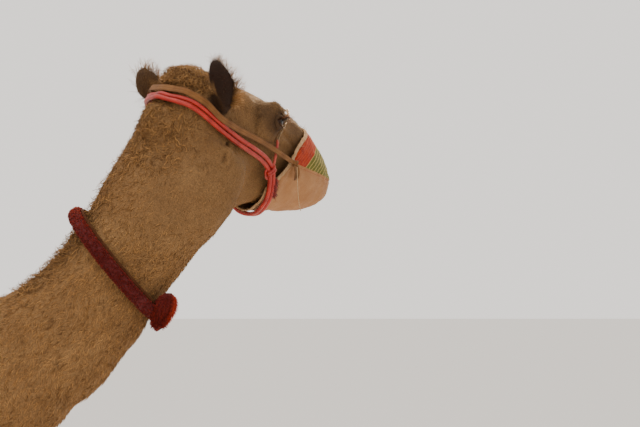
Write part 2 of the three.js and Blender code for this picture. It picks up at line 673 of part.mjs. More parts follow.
// The free end of the right knot hangs down beside the bag.
const STRING = { r: 0.9, drop: 104, drift: 8, steps: 20, out: 6 };
const outwards = v(0, -STRING.out, 0).transformDirection(headFrame).multiplyScalar(STRING.out);
const stringTop = ties[0].clone().add(outwards).add(v(0, 0, -TIE_SIZE[2] + 0.2));
const stringPath = new THREE.CatmullRomCurve3([0, 0.35, 0.7, 1].map((t) => (
  stringTop.clone().add(v(STRING.drift * t ** 3, 0, -STRING.drop * t)))));
const thread = new THREE.Shape(Array.from({ length: 8 }, (_, i) => new THREE.Vector2(
  STRING.r * Math.cos(Math.PI * i / 4),
  STRING.r * Math.sin(Math.PI * i / 4),
)));
put('muzzle_string', solid(new THREE.ExtrudeGeometry(thread, {
  steps: STRING.steps, extrudePath: stringPath, bevelEnabled: false,
})));

// The collar is a thick roll of wool round the neck, lower at the throat.
const COLLAR_AT = v(745, 6, 1783);
const COLLAR_DOWN = v(0.64, 0, -0.77);
const COLLAR_SIDE = v(0.03, 1, 0.02).normalize();
const COLLAR_GUIDES = 24;
const COLLAR_FAR = 300;                  // clear outside the neck, where the guides start
const collarGuides = Array.from({ length: COLLAR_GUIDES }, (_, i) => {
  const a = 2 * Math.PI * i / COLLAR_GUIDES;
  const outer = COLLAR_AT.clone()
    .addScaledVector(COLLAR_DOWN, COLLAR_FAR * Math.cos(a))
    .addScaledVector(COLLAR_SIDE, COLLAR_FAR * Math.sin(a));
  return [outer, COLLAR_AT.clone()];
});
const collarLine = lay(collarGuides, 30, COLLAR.lift, true);
const collarRoll = (grow) => solid(sweep(
  collarLine,
  oval(COLLAR.broad + grow, COLLAR.thick + grow, 8),
  true,
));
put('collar', collarRoll(0));

// A woollen tassel hangs from it at the throat, on the right.
const TASSEL = [
  [862, 1722, 10], [857, 1710, 20], [850, 1688, 24], [843, 1664, 22], [838, 1648, 16], [835, 1640, 8],
];
const TASSEL_Y = -46;
const tassel = solid(loft(
  TASSEL.map(([x, z, r]) => ({ c: v(x, TASSEL_Y, z), up: r, down: r, side: r })),
  { sides: 10, rings: 7 },
));
put('collar_tassel', tassel
  .subtract(collarRoll(FIT))
  .subtract(solid(loft(neckRows(4), { sides: 16, rings: 14 }))));

// ---------------------------------------------------------------- the nodes as a scene graph

const LOOKS = {
  tail: COAT_DARK, hump: COAT_DARK, ear_right: COAT_DARK, ear_left: COAT_DARK,
  eye_right: EYE, eye_left: EYE,
  halter_rope_front: PINK_ROPE, halter_rope_back: PINK_ROPE,
  halter_whipping_right: PINK_ROPE, halter_whipping_left: PINK_ROPE,
  noseband_cord_right: PINK_ROPE, noseband_cord_left: PINK_ROPE, noseband_chain: STEEL,
  muzzle_strap: WEBBING, muzzle_bag: CANVAS, collar: WOOL, collar_tassel: WOOL,
  muzzle_knot_right: WEBBING, muzzle_knot_left: WEBBING, muzzle_string: STRING_LOOK,
};
const look = (name) => LOOKS[name] ?? (name.startsWith('nail') ? HORN : COAT);

const camel = new THREE.Group();
const bounds = new THREE.Box3();
for (const [name, body] of Object.entries(pieces)) {
  const mesh = new THREE.Mesh(geometryOf(body), look(name));
  mesh.name = name;
  camel.add(mesh);
  bounds.expandByObject(mesh);
}

// the origin is on the floor, at the middle of the model's own length and breadth
const middle = bounds.getCenter(v(0, 0, 0));
camel.position.set(-middle.x, -middle.y, -bounds.min.z);

const group = new THREE.Group();
group.add(camel);
export default group;
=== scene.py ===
# %% [markdown]
# # A dromedary camel, life size
#
# A still model of a camel such as a natural history museum shows. It stands square, lifts its
# neck and turns its head to its own left. It wears a red wool collar, a doubled rope halter
# with a noseband of cord and chain, and a canvas muzzle bag on a webbing strap.
#
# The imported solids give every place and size. Here the flesh becomes one smooth skin, the
# coat grows over it in tufts of real mesh, and each worn piece is made again in its own stuff.
# Units are metres: +X is forward, +Y the animal's left, +Z up, and it stands on z = 0.

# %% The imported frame
import math

import bmesh
import bpy
import numpy as np
from mathutils import Euler, Matrix, Vector
from mathutils.bvhtree import BVHTree


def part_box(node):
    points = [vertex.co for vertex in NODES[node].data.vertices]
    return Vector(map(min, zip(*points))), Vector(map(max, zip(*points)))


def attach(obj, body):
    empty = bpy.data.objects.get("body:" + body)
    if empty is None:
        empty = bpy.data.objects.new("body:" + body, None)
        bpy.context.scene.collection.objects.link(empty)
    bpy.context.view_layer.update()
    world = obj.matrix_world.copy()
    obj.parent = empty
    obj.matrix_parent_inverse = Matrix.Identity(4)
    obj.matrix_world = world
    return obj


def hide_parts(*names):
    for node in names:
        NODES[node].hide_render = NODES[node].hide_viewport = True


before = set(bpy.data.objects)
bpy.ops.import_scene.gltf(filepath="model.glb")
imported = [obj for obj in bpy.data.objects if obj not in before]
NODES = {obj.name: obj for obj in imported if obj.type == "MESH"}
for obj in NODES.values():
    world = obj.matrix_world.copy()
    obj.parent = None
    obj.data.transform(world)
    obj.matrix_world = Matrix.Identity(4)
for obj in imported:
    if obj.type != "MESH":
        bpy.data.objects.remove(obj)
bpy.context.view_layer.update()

# %% [markdown]
# ## Where the head is
#
# Much of the work is on the head, which is turned, pitched and rolled. It is easiest to think
# of it in its own frame: x from the poll to the lip, y to its left, z up from the poll. The two
# eyeballs fix that frame: they are a known distance apart, and the angles are known.

# %% The head's own frame
HEAD_YAW, HEAD_PITCH, HEAD_ROLL = math.radians(50), math.radians(6), math.radians(7)
EYE = Vector((0.228, 0.087, -0.052))       # the left eyeball's centre in the head's frame
EYE_R = 0.0205


def middle(node):
    low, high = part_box(node)
    return (Vector(low) + Vector(high)) / 2


head_turn = (
    Matrix.Rotation(HEAD_YAW, 4, "Z")
    @ Matrix.Rotation(HEAD_PITCH, 4, "Y")
    @ Matrix.Rotation(HEAD_ROLL, 4, "X")
)
between_eyes = (middle("eye_right") + middle("eye_left")) / 2
poll = between_eyes - head_turn @ Vector((EYE.x, 0, EYE.z))
HEAD = Matrix.Translation(poll) @ head_turn
TO_HEAD = HEAD.inverted()
HEAD_TURN = np.array(HEAD.to_3x3())
HANDS = ((-1, "right"), (1, "left"))
print("poll at", tuple(round(c, 4) for c in poll))

# %% [markdown]
# ## Camera, floor and light
#
# The camera stands on the animal's right at the height of its neck, with a long lens, so the
# head and neck fill the frame. The floor is a plain pale sweep, and three large soft lamps
# light the model as a studio would: a warm key from behind the head, a broad fill from the
# camera's side and a weak top light. Broad lamps keep the shadows between the tufts soft. One
# small weak lamp gives the eye its point of light.

# %% Camera
CAMERA_FROM_POLL = Vector((0.310, -3.390, -0.350))
LENS = 85.05
PITCH_UP = math.atan(21.5 / 1512)          # so that the horizon lies a little under the middle

camera_data = bpy.data.cameras.new("camera")
camera_data.lens = LENS
camera_data.sensor_width = 36
camera_data.clip_end = 60
camera = bpy.data.objects.new("camera", camera_data)
camera.location = poll + CAMERA_FROM_POLL
camera.rotation_euler = Euler((math.pi / 2 + PITCH_UP, 0, 0))
bpy.context.collection.objects.link(camera)
bpy.context.scene.camera = camera
print("camera at", tuple(round(c, 3) for c in camera.location))


# %% Small tools used all through
def deselect():
    bpy.ops.object.select_all(action="DESELECT")


def activate(piece, *others):
    deselect()
    for each in (piece, *others):
        each.select_set(True)
    bpy.context.view_layer.objects.active = piece


def edit_mode(select=None):
    bpy.ops.object.mode_set(mode="EDIT")
    if select:
        bpy.ops.mesh.select_all(action=select)


def object_mode():
    bpy.ops.object.mode_set(mode="OBJECT")


def linked(name, data):
    """A new object that holds the data."""
    thing = bpy.data.objects.new(name, data)
    bpy.context.collection.objects.link(thing)
    return thing


def closed_up(piece, reach=1e-6):
    """Joins a wrapped grid along its seam and at its poles, and turns its faces outwards."""
    activate(piece)
    edit_mode("SELECT")
    bpy.ops.mesh.remove_doubles(threshold=reach)
    bpy.ops.mesh.normals_make_consistent(inside=False)
    object_mode()
    bpy.ops.object.shade_smooth()
    return piece


def joined(pieces, name):
    activate(*pieces)
    bpy.ops.object.join()
    pieces[0].name = name
    return pieces[0]


def apply_modifiers(piece):
    activate(piece)
    for modifier in list(piece.modifiers):
        bpy.ops.object.modifier_apply(modifier=modifier.name)
    return piece


def vertices_of(mesh):
    points = np.empty(len(mesh.vertices) * 3, dtype=np.float32)
    mesh.vertices.foreach_get("co", points)
    return points.reshape(-1, 3).astype(np.float64)


def set_vertices(mesh, points):
    mesh.vertices.foreach_set("co", np.asarray(points, dtype=np.float32).ravel())
    mesh.update()


def transformed(points, matrix):
    m = np.array(matrix)
    return points @ m[:3, :3].T + m[:3, 3]


def smoothstep(low, high, value):
    t = np.clip((value - low) / (high - low), 0, 1)
    return t * t * (3 - 2 * t)


def triangle_count(mesh):
    return sum(len(p.vertices) - 2 for p in mesh.polygons)


def complete(piece, finish, slot, *replaced):
    """Gives a piece its finish and its body, and hides the solids it stands for. The slot is not used."""
    piece.data.materials.clear()
    piece.data.materials.append(finish)
    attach(piece, "root")
    if replaced:
        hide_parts(*replaced)
    print(f"{piece.name}: {triangle_count(piece.data)} triangles")


# %% Floor and lamps
FLOOR_SIZE = 60.0
bpy.ops.mesh.primitive_plane_add(size=FLOOR_SIZE, location=(0, 0, 0))
floor = bpy.context.active_object
floor.name = "floor"
floor_finish = bpy.data.materials.new("pale floor")
floor_finish.use_nodes = True
floor_shader = floor_finish.node_tree.nodes["Principled BSDF"]
floor_shader.inputs["Base Color"].default_value = (0.80, 0.77, 0.73, 1)
floor_shader.inputs["Roughness"].default_value = 0.8
floor.data.materials.append(floor_finish)

world = bpy.context.scene.world or bpy.data.worlds.new("studio")
bpy.context.scene.world = world
world.use_nodes = True
background = world.node_tree.nodes["Background"]
background.inputs["Color"].default_value = (1.0, 0.955, 0.905, 1)
background.inputs["Strength"].default_value = 1.4


def soft_lamp(name, place, aim, size, power, colour):
    data = bpy.data.lights.new(name, "AREA")
    data.size = size
    data.energy = power
    data.color = colour
    lamp = linked(name, data)
    lamp.location = place
    lamp.rotation_euler = (Vector(aim) - Vector(place)).to_track_quat("-Z", "Y").to_euler()


soft_lamp("key", poll + Vector((0.9, 2.6, 1.5)), poll, 1.8, 300, (1.0, 0.74, 0.46))
soft_lamp("fill", poll + Vector((-1.6, -4.2, 1.3)), poll, 3.5, 50, (1.0, 0.88, 0.74))
soft_lamp("catch light", poll + Vector((0.8, -2.6, 1.5)), poll, 0.20, 9, (1.0, 0.95, 0.88))
soft_lamp("top", Vector((-0.3, -0.5, 5.5)), Vector((0, 0, 1.4)), 3.0, 90, (1.0, 0.92, 0.82))

# %% [markdown]
# ## The string
#
# A thin pale twine hangs free from the knot on the right cheek, so it is the one true cord
# here. It is a poly curve with a round bevel, and the curve is its centre line. It hangs
# straight, and its end swings a little forward.

# %% The string
STRING_R = 0.0009
STRING_POINTS = 17
string_low, string_high = (Vector(p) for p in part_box("muzzle_string"))
string_side = (string_low.y + string_high.y) / 2
string_drift = string_high.x - string_low.x - 2 * STRING_R

string_curve = bpy.data.curves.new("muzzle_string_twine", "CURVE")
string_curve.dimensions = "3D"
string_curve.bevel_depth = STRING_R
string_curve.bevel_resolution = 3
string_curve.use_fill_caps = True
twine_finish = bpy.data.materials.new("pale twine")           # its nodes come with the bag's
twine_finish.use_nodes = True
string_curve.materials.append(twine_finish)
string_spline = string_curve.splines.new("POLY")
string_spline.points.add(STRING_POINTS - 1)
for i, point in enumerate(string_spline.points):
    t = i / (STRING_POINTS - 1)
    place = Vector((
        string_low.x + STRING_R + string_drift * t**3,
        string_side,
        string_high.z + t * (string_low.z - string_high.z),
    ))
    point.co = (*place, 1)
twine = linked("muzzle_string_twine", string_curve)
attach(twine, "root")
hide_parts("muzzle_string")

# %% [markdown]
# ## The skin
#
# A camel's hide is one surface, so the solids of trunk, hump, neck, head, ears, legs, feet and
# tail are copied, joined and remeshed: a voxel remesh closes the thin cuts between them. That
# mesh is finer than a trunk needs, so a decimate thins it everywhere but on the head. A smooth
# that does not shrink takes out the flats of the solids. Sculpting the whole animal by hand
# would lose the sizes that the solids already hold.

# %% One closed surface from the flesh
FLESH = (
    ["trunk", "hump", "neck", "head", "tail", "ear_right", "ear_left"]
    + [f"{part}_{end}_{side}" for part in ("leg", "foot") for end in ("fore", "hind")
       for side in ("right", "left")]
)
VOXEL = 0.0058
OVER_THE_CUTS = 0.0006

copies = [linked("flesh_" + node, NODES[node].data.copy()) for node in FLESH]
for copy in copies:
    activate(copy)
    edit_mode("SELECT")
    bpy.ops.mesh.remove_doubles(threshold=1e-5)
    bpy.ops.transform.shrink_fatten(value=OVER_THE_CUTS)
    object_mode()
skin = joined(copies, "skin")
skin.data.materials.clear()
skin.data.remesh_voxel_size = VOXEL
skin.data.remesh_voxel_adaptivity = 0
bpy.ops.object.voxel_remesh()
print("skin after the remesh:", len(skin.data.polygons), "faces")


# %% Thin the body and keep the head fine
def head_share(points):
    """1 on the head and ears, 0 on the body."""
    local = transformed(points, TO_HEAD)
    return smoothstep(-0.16, -0.06, local[:, 0]) * smoothstep(-0.42, -0.30, local[:, 2])


def upper_neck_share(points):
    """1 on the upper neck and the head, 0 on the trunk and the legs."""
    return smoothstep(1.45, 1.6, points[:, 2]) * smoothstep(0.42, 0.58, points[:, 0])


def set_weights(piece, name, weights):
    group = piece.vertex_groups.new(name=name)
    steps = weights.round(1)
    for weight in np.unique(steps):
        group.add(np.nonzero(steps == weight)[0].tolist(), float(weight), "REPLACE")


points = vertices_of(skin.data)
fine = np.maximum(head_share(points), 0.55 * upper_neck_share(points))
set_weights(skin, "thin", 1 - fine)
thin = skin.modifiers.new("thin", "DECIMATE")
thin.ratio = 0.26
thin.vertex_group = "thin"
thin.vertex_group_factor = 4
apply_modifiers(skin)
skin.vertex_groups.clear()


print("skin after thinning:", triangle_count(skin.data), "triangles")


# %% Smooth away the flats of the solids
def edges_of(mesh):
    edges = np.empty(len(mesh.edges) * 2, dtype=np.int64)
    mesh.edges.foreach_get("vertices", edges)
    return edges.reshape(-1, 2)


def smoothed(points, edges, passes, share=1.0, keep=0.63, grow=-0.66):
    """Taubin smoothing: each pass pulls points in, then lets them out again."""
    a, b = edges.T
    n = len(points)
    count = np.maximum(np.bincount(a, minlength=n) + np.bincount(b, minlength=n), 1)
    share = np.broadcast_to(np.asarray(share, dtype=float), (n,))[:, None]
    for _ in range(passes):
        for step in (keep, grow):
            mean = np.stack([
                (np.bincount(a, points[b, k], n) + np.bincount(b, points[a, k], n)) / count
                for k in range(3)], axis=1)
            points = points + step * share * (mean - points)
    return points


points = vertices_of(skin.data)
edges = edges_of(skin.data)
points = smoothed(points, edges, 6)
points = smoothed(points, edges, 30, 1 - head_share(points))
set_vertices(skin.data, points)
activate(skin)
bpy.ops.object.shade_smooth()

# %% [markdown]
# ## Regions of the body
#
# The coat's depth, lie, length and colour all change over the body. Each is worked out from
# soft shares: a share is 1 inside its region and fades to 0 outside it. The same shares serve
# the skin and the coat, so their markings agree.

# %% Distances to lines, and both sides as one
def distance_to_line(points, line):
    best = np.full(len(points), np.inf)
    for a, b in zip(line, line[1:]):
        a, b = np.array(a), np.array(b)
        along = np.clip(((points - a) @ (b - a)) / ((b - a) @ (b - a)), 0, 1)
        away = np.linalg.norm(points - a - along[:, None] * (b - a), axis=1)
        best = np.minimum(best, away)
    return best


def both_sides(points):
    """Points with their left half folded onto the right, so that one list does for both."""
    folded = points.copy()
    folded[:, 1] = -np.abs(folded[:, 1])
    return folded


# %% Soft shares of the body's regions
JAW_CREASE = [(0.079, -0.083, -0.092), (0.090, -0.078, -0.108), (0.095, -0.078, -0.121),
              (0.081, -0.094, -0.138), (0.066, -0.114, -0.152)]
THROAT_CREASE = [(0.056, -0.117, -0.152), (0.050, -0.121, -0.170)]
SOLES = {end + "_" + side: middle(f"foot_{end}_{side}")
         for end in ("fore", "hind") for side in ("right", "left")}
MIDLINE_Y = (SOLES["fore_right"].y + SOLES["fore_left"].y) / 2
WITHERS_X = (SOLES["fore_right"].x + SOLES["fore_left"].x) / 2 - 0.03
HUMP_LOW, HUMP_HIGH = (Vector(p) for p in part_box("hump"))
TAIL_HIGH = Vector(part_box("tail")[1])
TOE_CLEFTS = []                        # between the two toes of each foot, from the ground up
for end in ("fore", "hind"):
    for side in ("right", "left"):
        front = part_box(f"foot_{end}_{side}")[1][0]
        sole = SOLES[end + "_" + side]
        TOE_CLEFTS.append([(front + 0.002, sole.y, -0.004), (front - 0.006, sole.y, 0.030),
                           (front - 0.058, sole.y, 0.074)])
NECK_FOOT = Vector((WITHERS_X + 0.33, MIDLINE_Y, 1.47))       # the neck leaves the chest here
NECK_TOP = HEAD @ Vector((0.0, 0.0, -0.12))
NECK_AXIS = (NECK_TOP - NECK_FOOT).normalized()
NECK_BACK = NECK_AXIS.cross(Vector((0, 1, 0)))                # from the throat towards the nape


def place_on_neck(points):
    """How far along the neck's straight axis, and how far off it towards the nape."""
    away = points - np.array(NECK_FOOT)
    return away @ np.array(NECK_AXIS), away @ np.array(NECK_BACK)


# The neck bends, so its middle and half depth are measured at marks along that axis.
NECK_WINDOW = 0.09
solid_along, solid_back = place_on_neck(vertices_of(NODES["neck"].data))
NECK_MARKS = np.linspace(solid_along.min(), solid_along.max(), 9)
near_mark = [solid_back[np.abs(solid_along - mark) < NECK_WINDOW] for mark in NECK_MARKS]
NECK_MIDDLES = [(back.max() + back.min()) / 2 for back in near_mark]
NECK_HALVES = [(back.max() - back.min()) / 2 for back in near_mark]
print("neck's middle off its axis:", np.round(NECK_MIDDLES, 3), "half depth:", np.round(NECK_HALVES, 3))


def bell(points, centre, radii):
    """1 at a centre, fading to 0 one radius away on each axis."""
    away = (points - np.array(centre)) / np.array(radii)
    return np.exp(-2.0 * (away**2).sum(axis=1))


def shares(points):
    """Region name to share, for each point."""
    local = transformed(points, TO_HEAD)
    x, _, z = points.T
    mirrored = np.abs(local) * [0, 1, 0] + local * [1, 0, 1]
    head = head_share(points)
    ear = smoothstep(-0.022, 0.004, local[:, 2]) * smoothstep(0.078, 0.09, mirrored[:, 1])
    ear = np.maximum(ear, smoothstep(0.098, 0.112, mirrored[:, 1]) * smoothstep(-0.07, -0.05, local[:, 2])
                     * (1 - smoothstep(0.06, 0.10, local[:, 0])))
    out = {
        "head": head,
        "ear": ear * head,
        "ear_root": smoothstep(0.10, 0.60, bell(mirrored, (0.042, 0.096, -0.040), (0.050, 0.045, 0.044))),
        "crown": smoothstep(0.14, 0.50, bell(local, (0.005, 0, 0.01), (0.125, 0.095, 0.085))),
        "poll": bell(local, (-0.08, 0, -0.10), (0.13, 0.14, 0.16)),
        "muzzle": smoothstep(0.27, 0.34, local[:, 0]) * head,
        "eye": np.clip(1.25 * bell(mirrored, EYE, (0.062, 0.05, 0.052)), 0, 1),
        "temple_shade": bell(mirrored, (EYE.x - 0.018, EYE.y, EYE.z + 0.012), (0.084, 0.075, 0.066)) * head,
        "brow": bell(mirrored, (0.232, 0.092, -0.016), (0.042, 0.030, 0.020)) * head,
        "neck": (1 - head) * smoothstep(0.30, 0.46, x) * smoothstep(1.15, 1.3, z),
        "hump": smoothstep(HUMP_LOW.z - 0.10, HUMP_LOW.z + 0.06, z) * (x < 0.3),
        "belly": 1 - smoothstep(1.02, 1.16, z),
        "leg": 1 - smoothstep(0.93, 1.12, z),
        "shin": 1 - smoothstep(0.40, 0.62, z),
        "foot": 1 - smoothstep(0.07, 0.13, z),
        "tail": smoothstep(TAIL_HIGH.x + 0.02, TAIL_HIGH.x - 0.012, x) * (z > 0.9),
        "tail_tip": smoothstep(TAIL_HIGH.x + 0.02, TAIL_HIGH.x - 0.012, x)
        * (1 - smoothstep(1.16, 1.30, z)) * (z > 0.9),
    }
    along, back = place_on_neck(points)
    back = back - np.interp(along, NECK_MARKS, NECK_MIDDLES)
    back = back / np.interp(along, NECK_MARKS, NECK_HALVES)
    out["nape"] = out["neck"] * smoothstep(0.45, 0.80, back)
    out["throat"] = out["neck"] * smoothstep(-0.50, -0.85, back)
    return out


def waves(points, scale, seed):
    """A smooth value between about -1 and 1 that wanders over a distance of scale."""
    draw = np.random.default_rng(seed)
    total = np.zeros(len(points))
    for _ in range(7):
        way = draw.normal(size=3)
        way *= 2 * math.pi / (scale * np.linalg.norm(way)) * draw.uniform(0.6, 1.5)
        total += np.sin(points @ way + draw.uniform(0, 2 * math.pi))
    return total / 3.2


def coat_depth(points):
    """How far the skin lies inside the outer shape, which is out to the coat's tips."""
    s = shares(points)
    depth = np.full(len(points), 0.0105)
    for region, value in (
        ("belly", 0.008), ("neck", 0.0070), ("nape", 0.0090), ("leg", 0.0045), ("shin", 0.0028),
        ("foot", 0.0018), ("hump", 0.018), ("head", 0.0032), ("poll", 0.0070), ("crown", 0.0085),
        ("eye", 0.0022), ("muzzle", 0.0026), ("ear", 0.0008), ("tail", 0.0035), ("tail_tip", 0.013),
    ):
        share = np.clip(s[region] * 1.15, 0, 1)
        depth = depth * (1 - share) + value * share
    return depth


# %% [markdown]
# ## Drawing the skin in, and mending it
#
# The solids reach to the tips of the coat, so the skin is drawn in by the coat's depth. Before
# that, the faces about the eyes, the ears, the jaw's crease and the clefts of the toes are
# split once more for their fine forms, and the closed bubbles that the remesh leaves inside are
# dropped. Where two solids meet at a slant, pits and folded faces can be left: neighbours whose
# normals disagree. Such places, and a few rings of corners round them, are relaxed until they
# lie flat. The ears are left out: their rims are truly thin. All this comes before any fold is
# sculpted.

# %% Split the faces where the forms are fine
FINE_ABOUT_EYE, FINE_ABOUT_CREASE = 0.075, 0.026

points = vertices_of(skin.data)
folded = both_sides(transformed(points, TO_HEAD))
from_eye = np.linalg.norm(folded - np.array([EYE.x, -EYE.y, EYE.z]), axis=1)
fine = (from_eye < FINE_ABOUT_EYE) | (shares(points)["ear"] > 0.05)
fine |= (distance_to_line(folded, JAW_CREASE) < FINE_ABOUT_CREASE) & (head_share(points) > 0.5)
for cleft in TOE_CLEFTS:
    fine |= distance_to_line(points, cleft) < FINE_ABOUT_CREASE
activate(skin)
edit_mode("DESELECT")
object_mode()
for face in skin.data.polygons:
    face.select = all(fine[i] for i in face.vertices)
edit_mode()
bpy.ops.mesh.select_mode(type="FACE")
bpy.ops.mesh.subdivide(number_cuts=1, smoothness=0.0)
bpy.ops.mesh.select_mode(type="VERT")
object_mode()
points = smoothed(vertices_of(skin.data), edges_of(skin.data), 3)
set_vertices(skin.data, points)
print("skin with fine places:", triangle_count(skin.data), "triangles")


# %% Drop the bubbles
def edge_groups(edges, count):
    """For each corner, the lowest corner number that it is joined to."""
    a, b = edges.T
    lowest = np.arange(count)
    while True:
        before = lowest.copy()
        np.minimum.at(lowest, a, lowest[b])
        np.minimum.at(lowest, b, lowest[a])
        lowest = lowest[lowest]
        if (lowest == before).all():
            return lowest


group = edge_groups(edges_of(skin.data), len(skin.data.vertices))
main = np.bincount(group).argmax()
skin.data.vertices.foreach_set("select", group != main)
edit_mode()
if (group != main).any():
    bpy.ops.mesh.delete(type="VERT")
object_mode()
print("corners of bubbles dropped:", int((group != main).sum()))


# %% Relax the pits
def normals_of(mesh):
    normals = np.empty(len(mesh.vertices) * 3, dtype=np.float32)
    mesh.vertex_normals.foreach_get("vector", normals)
    return normals.reshape(-1, 3).astype(np.float64)


def calm_normals(mesh, edges, passes=6):
    """Normals evened out over a few rings, so that a shift along them folds nothing."""
    sharp = normals_of(mesh)
    calm = smoothed(sharp, edges, passes, 1 - truly_thin, 0.6, 0.0)
    return calm / np.maximum(np.linalg.norm(calm, axis=1), 1e-6)[:, None]


FOLDED = 0.40                          # cosine of the angle between two neighbours' normals
RINGS, RELAXES = 4, 10

edges = edges_of(skin.data)
truly_thin = np.clip(shares(vertices_of(skin.data))["ear"] * 4, 0, 1)


def mend(rounds, spared):
    a, b = edges.T
    for _ in range(rounds):
        normals = normals_of(skin.data)
        folded_edges = (normals[a] * normals[b]).sum(axis=1) < FOLDED
        share = np.zeros(len(normals))
        share[edges[folded_edges].ravel()] = 1
        for _ in range(RINGS):
            wider = share.copy()
            np.maximum.at(wider, a, share[b] * 0.85)
            np.maximum.at(wider, b, share[a] * 0.85)
            share = wider
        share *= 1 - spared
        points = smoothed(vertices_of(skin.data), edges, RELAXES, share, 0.6, 0.0)
        set_vertices(skin.data, points)
        print("folded edges mended:", int(folded_edges.sum()))


mend(4, truly_thin)

# %% Draw the skin in by the coat's depth
DRAWS = 3                              # in a few steps, each along fresh normals

points = vertices_of(skin.data)
depth = coat_depth(points)
for _ in range(DRAWS):
    points = points - calm_normals(skin.data, edges) * depth[:, None] / DRAWS
    points[:, 2] = np.maximum(points[:, 2], 0.0)
    set_vertices(skin.data, points)
mend(5, truly_thin)
points = smoothed(vertices_of(skin.data), edges, 2, 1 - truly_thin)
neck_root = bell(points, (NECK_FOOT.x, MIDLINE_Y, 1.56), (0.20, 0.42, 0.34))
points = smoothed(points, edges, 40, neck_root, 0.5, 0.0)     # neck and chest run into one another
folded = both_sides(transformed(points, TO_HEAD))
neck_top = bell(folded, (0.045, -0.114, -0.160), (0.14, 0.095, 0.082)) * (1 - truly_thin)
points = smoothed(points, edges, 200, neck_top, 0.5, 0.0)     # and so do the neck and the jaw
set_vertices(skin.data, points)
print("skin drawn in by", depth.min().round(4), "to", depth.max().round(4))

# %% [markdown]
# ## Folds, bones and pads in the skin
#
# The solids give the masses. A hide also shows what is under it: the hollow over each eye, the
# bony line down the face, the round jaw muscle with a groove behind it, folds at the roots of
# the ears, tendons in the shins, and the bare calluses that a camel kneels on. Each is a small
# push along the skin's normal: a groove follows a line, a swelling or hollow has a centre.

# %% Pushing grooves and swellings into a surface
def groove(points, line, width, depth):
    away = distance_to_line(points, line) / width
    return -depth * np.exp(-away**2) + 0.35 * depth * np.exp(-(away - 2.1) ** 2)


# %% The head's folds and bones, in its own frame
#         line through the fold (right side), width, depth
HEAD_GROOVES = [
    (JAW_CREASE, 0.0048, 0.0085), (THROAT_CREASE, 0.0050, 0.0060),
    ([(0.112, -0.088, -0.105), (0.146, -0.076, -0.195), (0.175, -0.070, -0.235)], 0.008, 0.0040),
    ([(0.120, -0.070, 0.004), (0.165, -0.086, -0.010), (0.205, -0.098, -0.026)], 0.0040, 0.0028),
    ([(0.150, -0.088, -0.028), (0.185, -0.098, -0.040), (0.200, -0.104, -0.050)], 0.0035, 0.0022),
    ([(0.186, -0.094, -0.074), (0.222, -0.098, -0.092), (0.258, -0.088, -0.088)], 0.0036, 0.0026),
    ([(0.200, -0.090, -0.100), (0.240, -0.088, -0.112), (0.282, -0.076, -0.106)], 0.0045, 0.0020),
    ([(0.262, -0.078, -0.060), (0.300, -0.064, -0.076), (0.350, -0.054, -0.100)], 0.0055, 0.0026),
    ([(0.040, -0.084, -0.078), (0.064, -0.092, -0.088), (0.086, -0.088, -0.072)], 0.0040, 0.0030),
    ([(0.088, -0.082, -0.050), (0.094, -0.078, -0.026), (0.084, -0.070, -0.002)], 0.0045, 0.0030),
    ([(0.425, -0.046, -0.118), (0.448, -0.045, -0.132), (0.470, -0.036, -0.150)], 0.0045, 0.0090),
    ([(0.300, -0.056, -0.196), (0.380, -0.050, -0.192), (0.460, -0.040, -0.196)], 0.0040, 0.0060),
]
#         centre (right side), radii, height
HEAD_SWELLINGS = [
    ((0.168, -0.064, -0.004), (0.034, 0.030, 0.026), -0.0080),     # hollow behind the brow
    ((0.226, -0.092, -0.018), (0.050, 0.030, 0.018), 0.0045),      # bony brow
    ((0.228, -0.098, -0.082), (0.040, 0.026, 0.014), 0.0030),      # lower rim of the orbit
    ((0.300, -0.066, -0.092), (0.080, 0.030, 0.013), 0.0035),      # facial crest
    ((0.300, -0.056, -0.140), (0.080, 0.034, 0.030), -0.0045),     # hollow of the cheek
    ((0.170, -0.080, -0.170), (0.052, 0.040, 0.060), 0.0045),      # jaw muscle
    ((0.330, -0.030, -0.010), (0.070, 0.030, 0.030), -0.0030),     # beside the nose bone
    ((0.255, 0.000, 0.000), (0.060, 0.030, 0.030), -0.0030),       # between the brows
]

points = vertices_of(skin.data)
normals = calm_normals(skin.data, edges, 2)
folded = both_sides(transformed(points, TO_HEAD))
push = np.zeros(len(points))
for line, width, depth in HEAD_GROOVES:
    push += groove(folded, line, width, depth)
for centre, radii, height in HEAD_SWELLINGS:
    push += height * bell(folded, centre, radii)
push *= head_share(points)

# %% The body's folds, tendons and pads
KNEE_Z, HOCK_Z = 0.58, 0.70
PAD_CENTRE = (WITHERS_X + 0.10, MIDLINE_Y, 0.995)                     # the chest pad
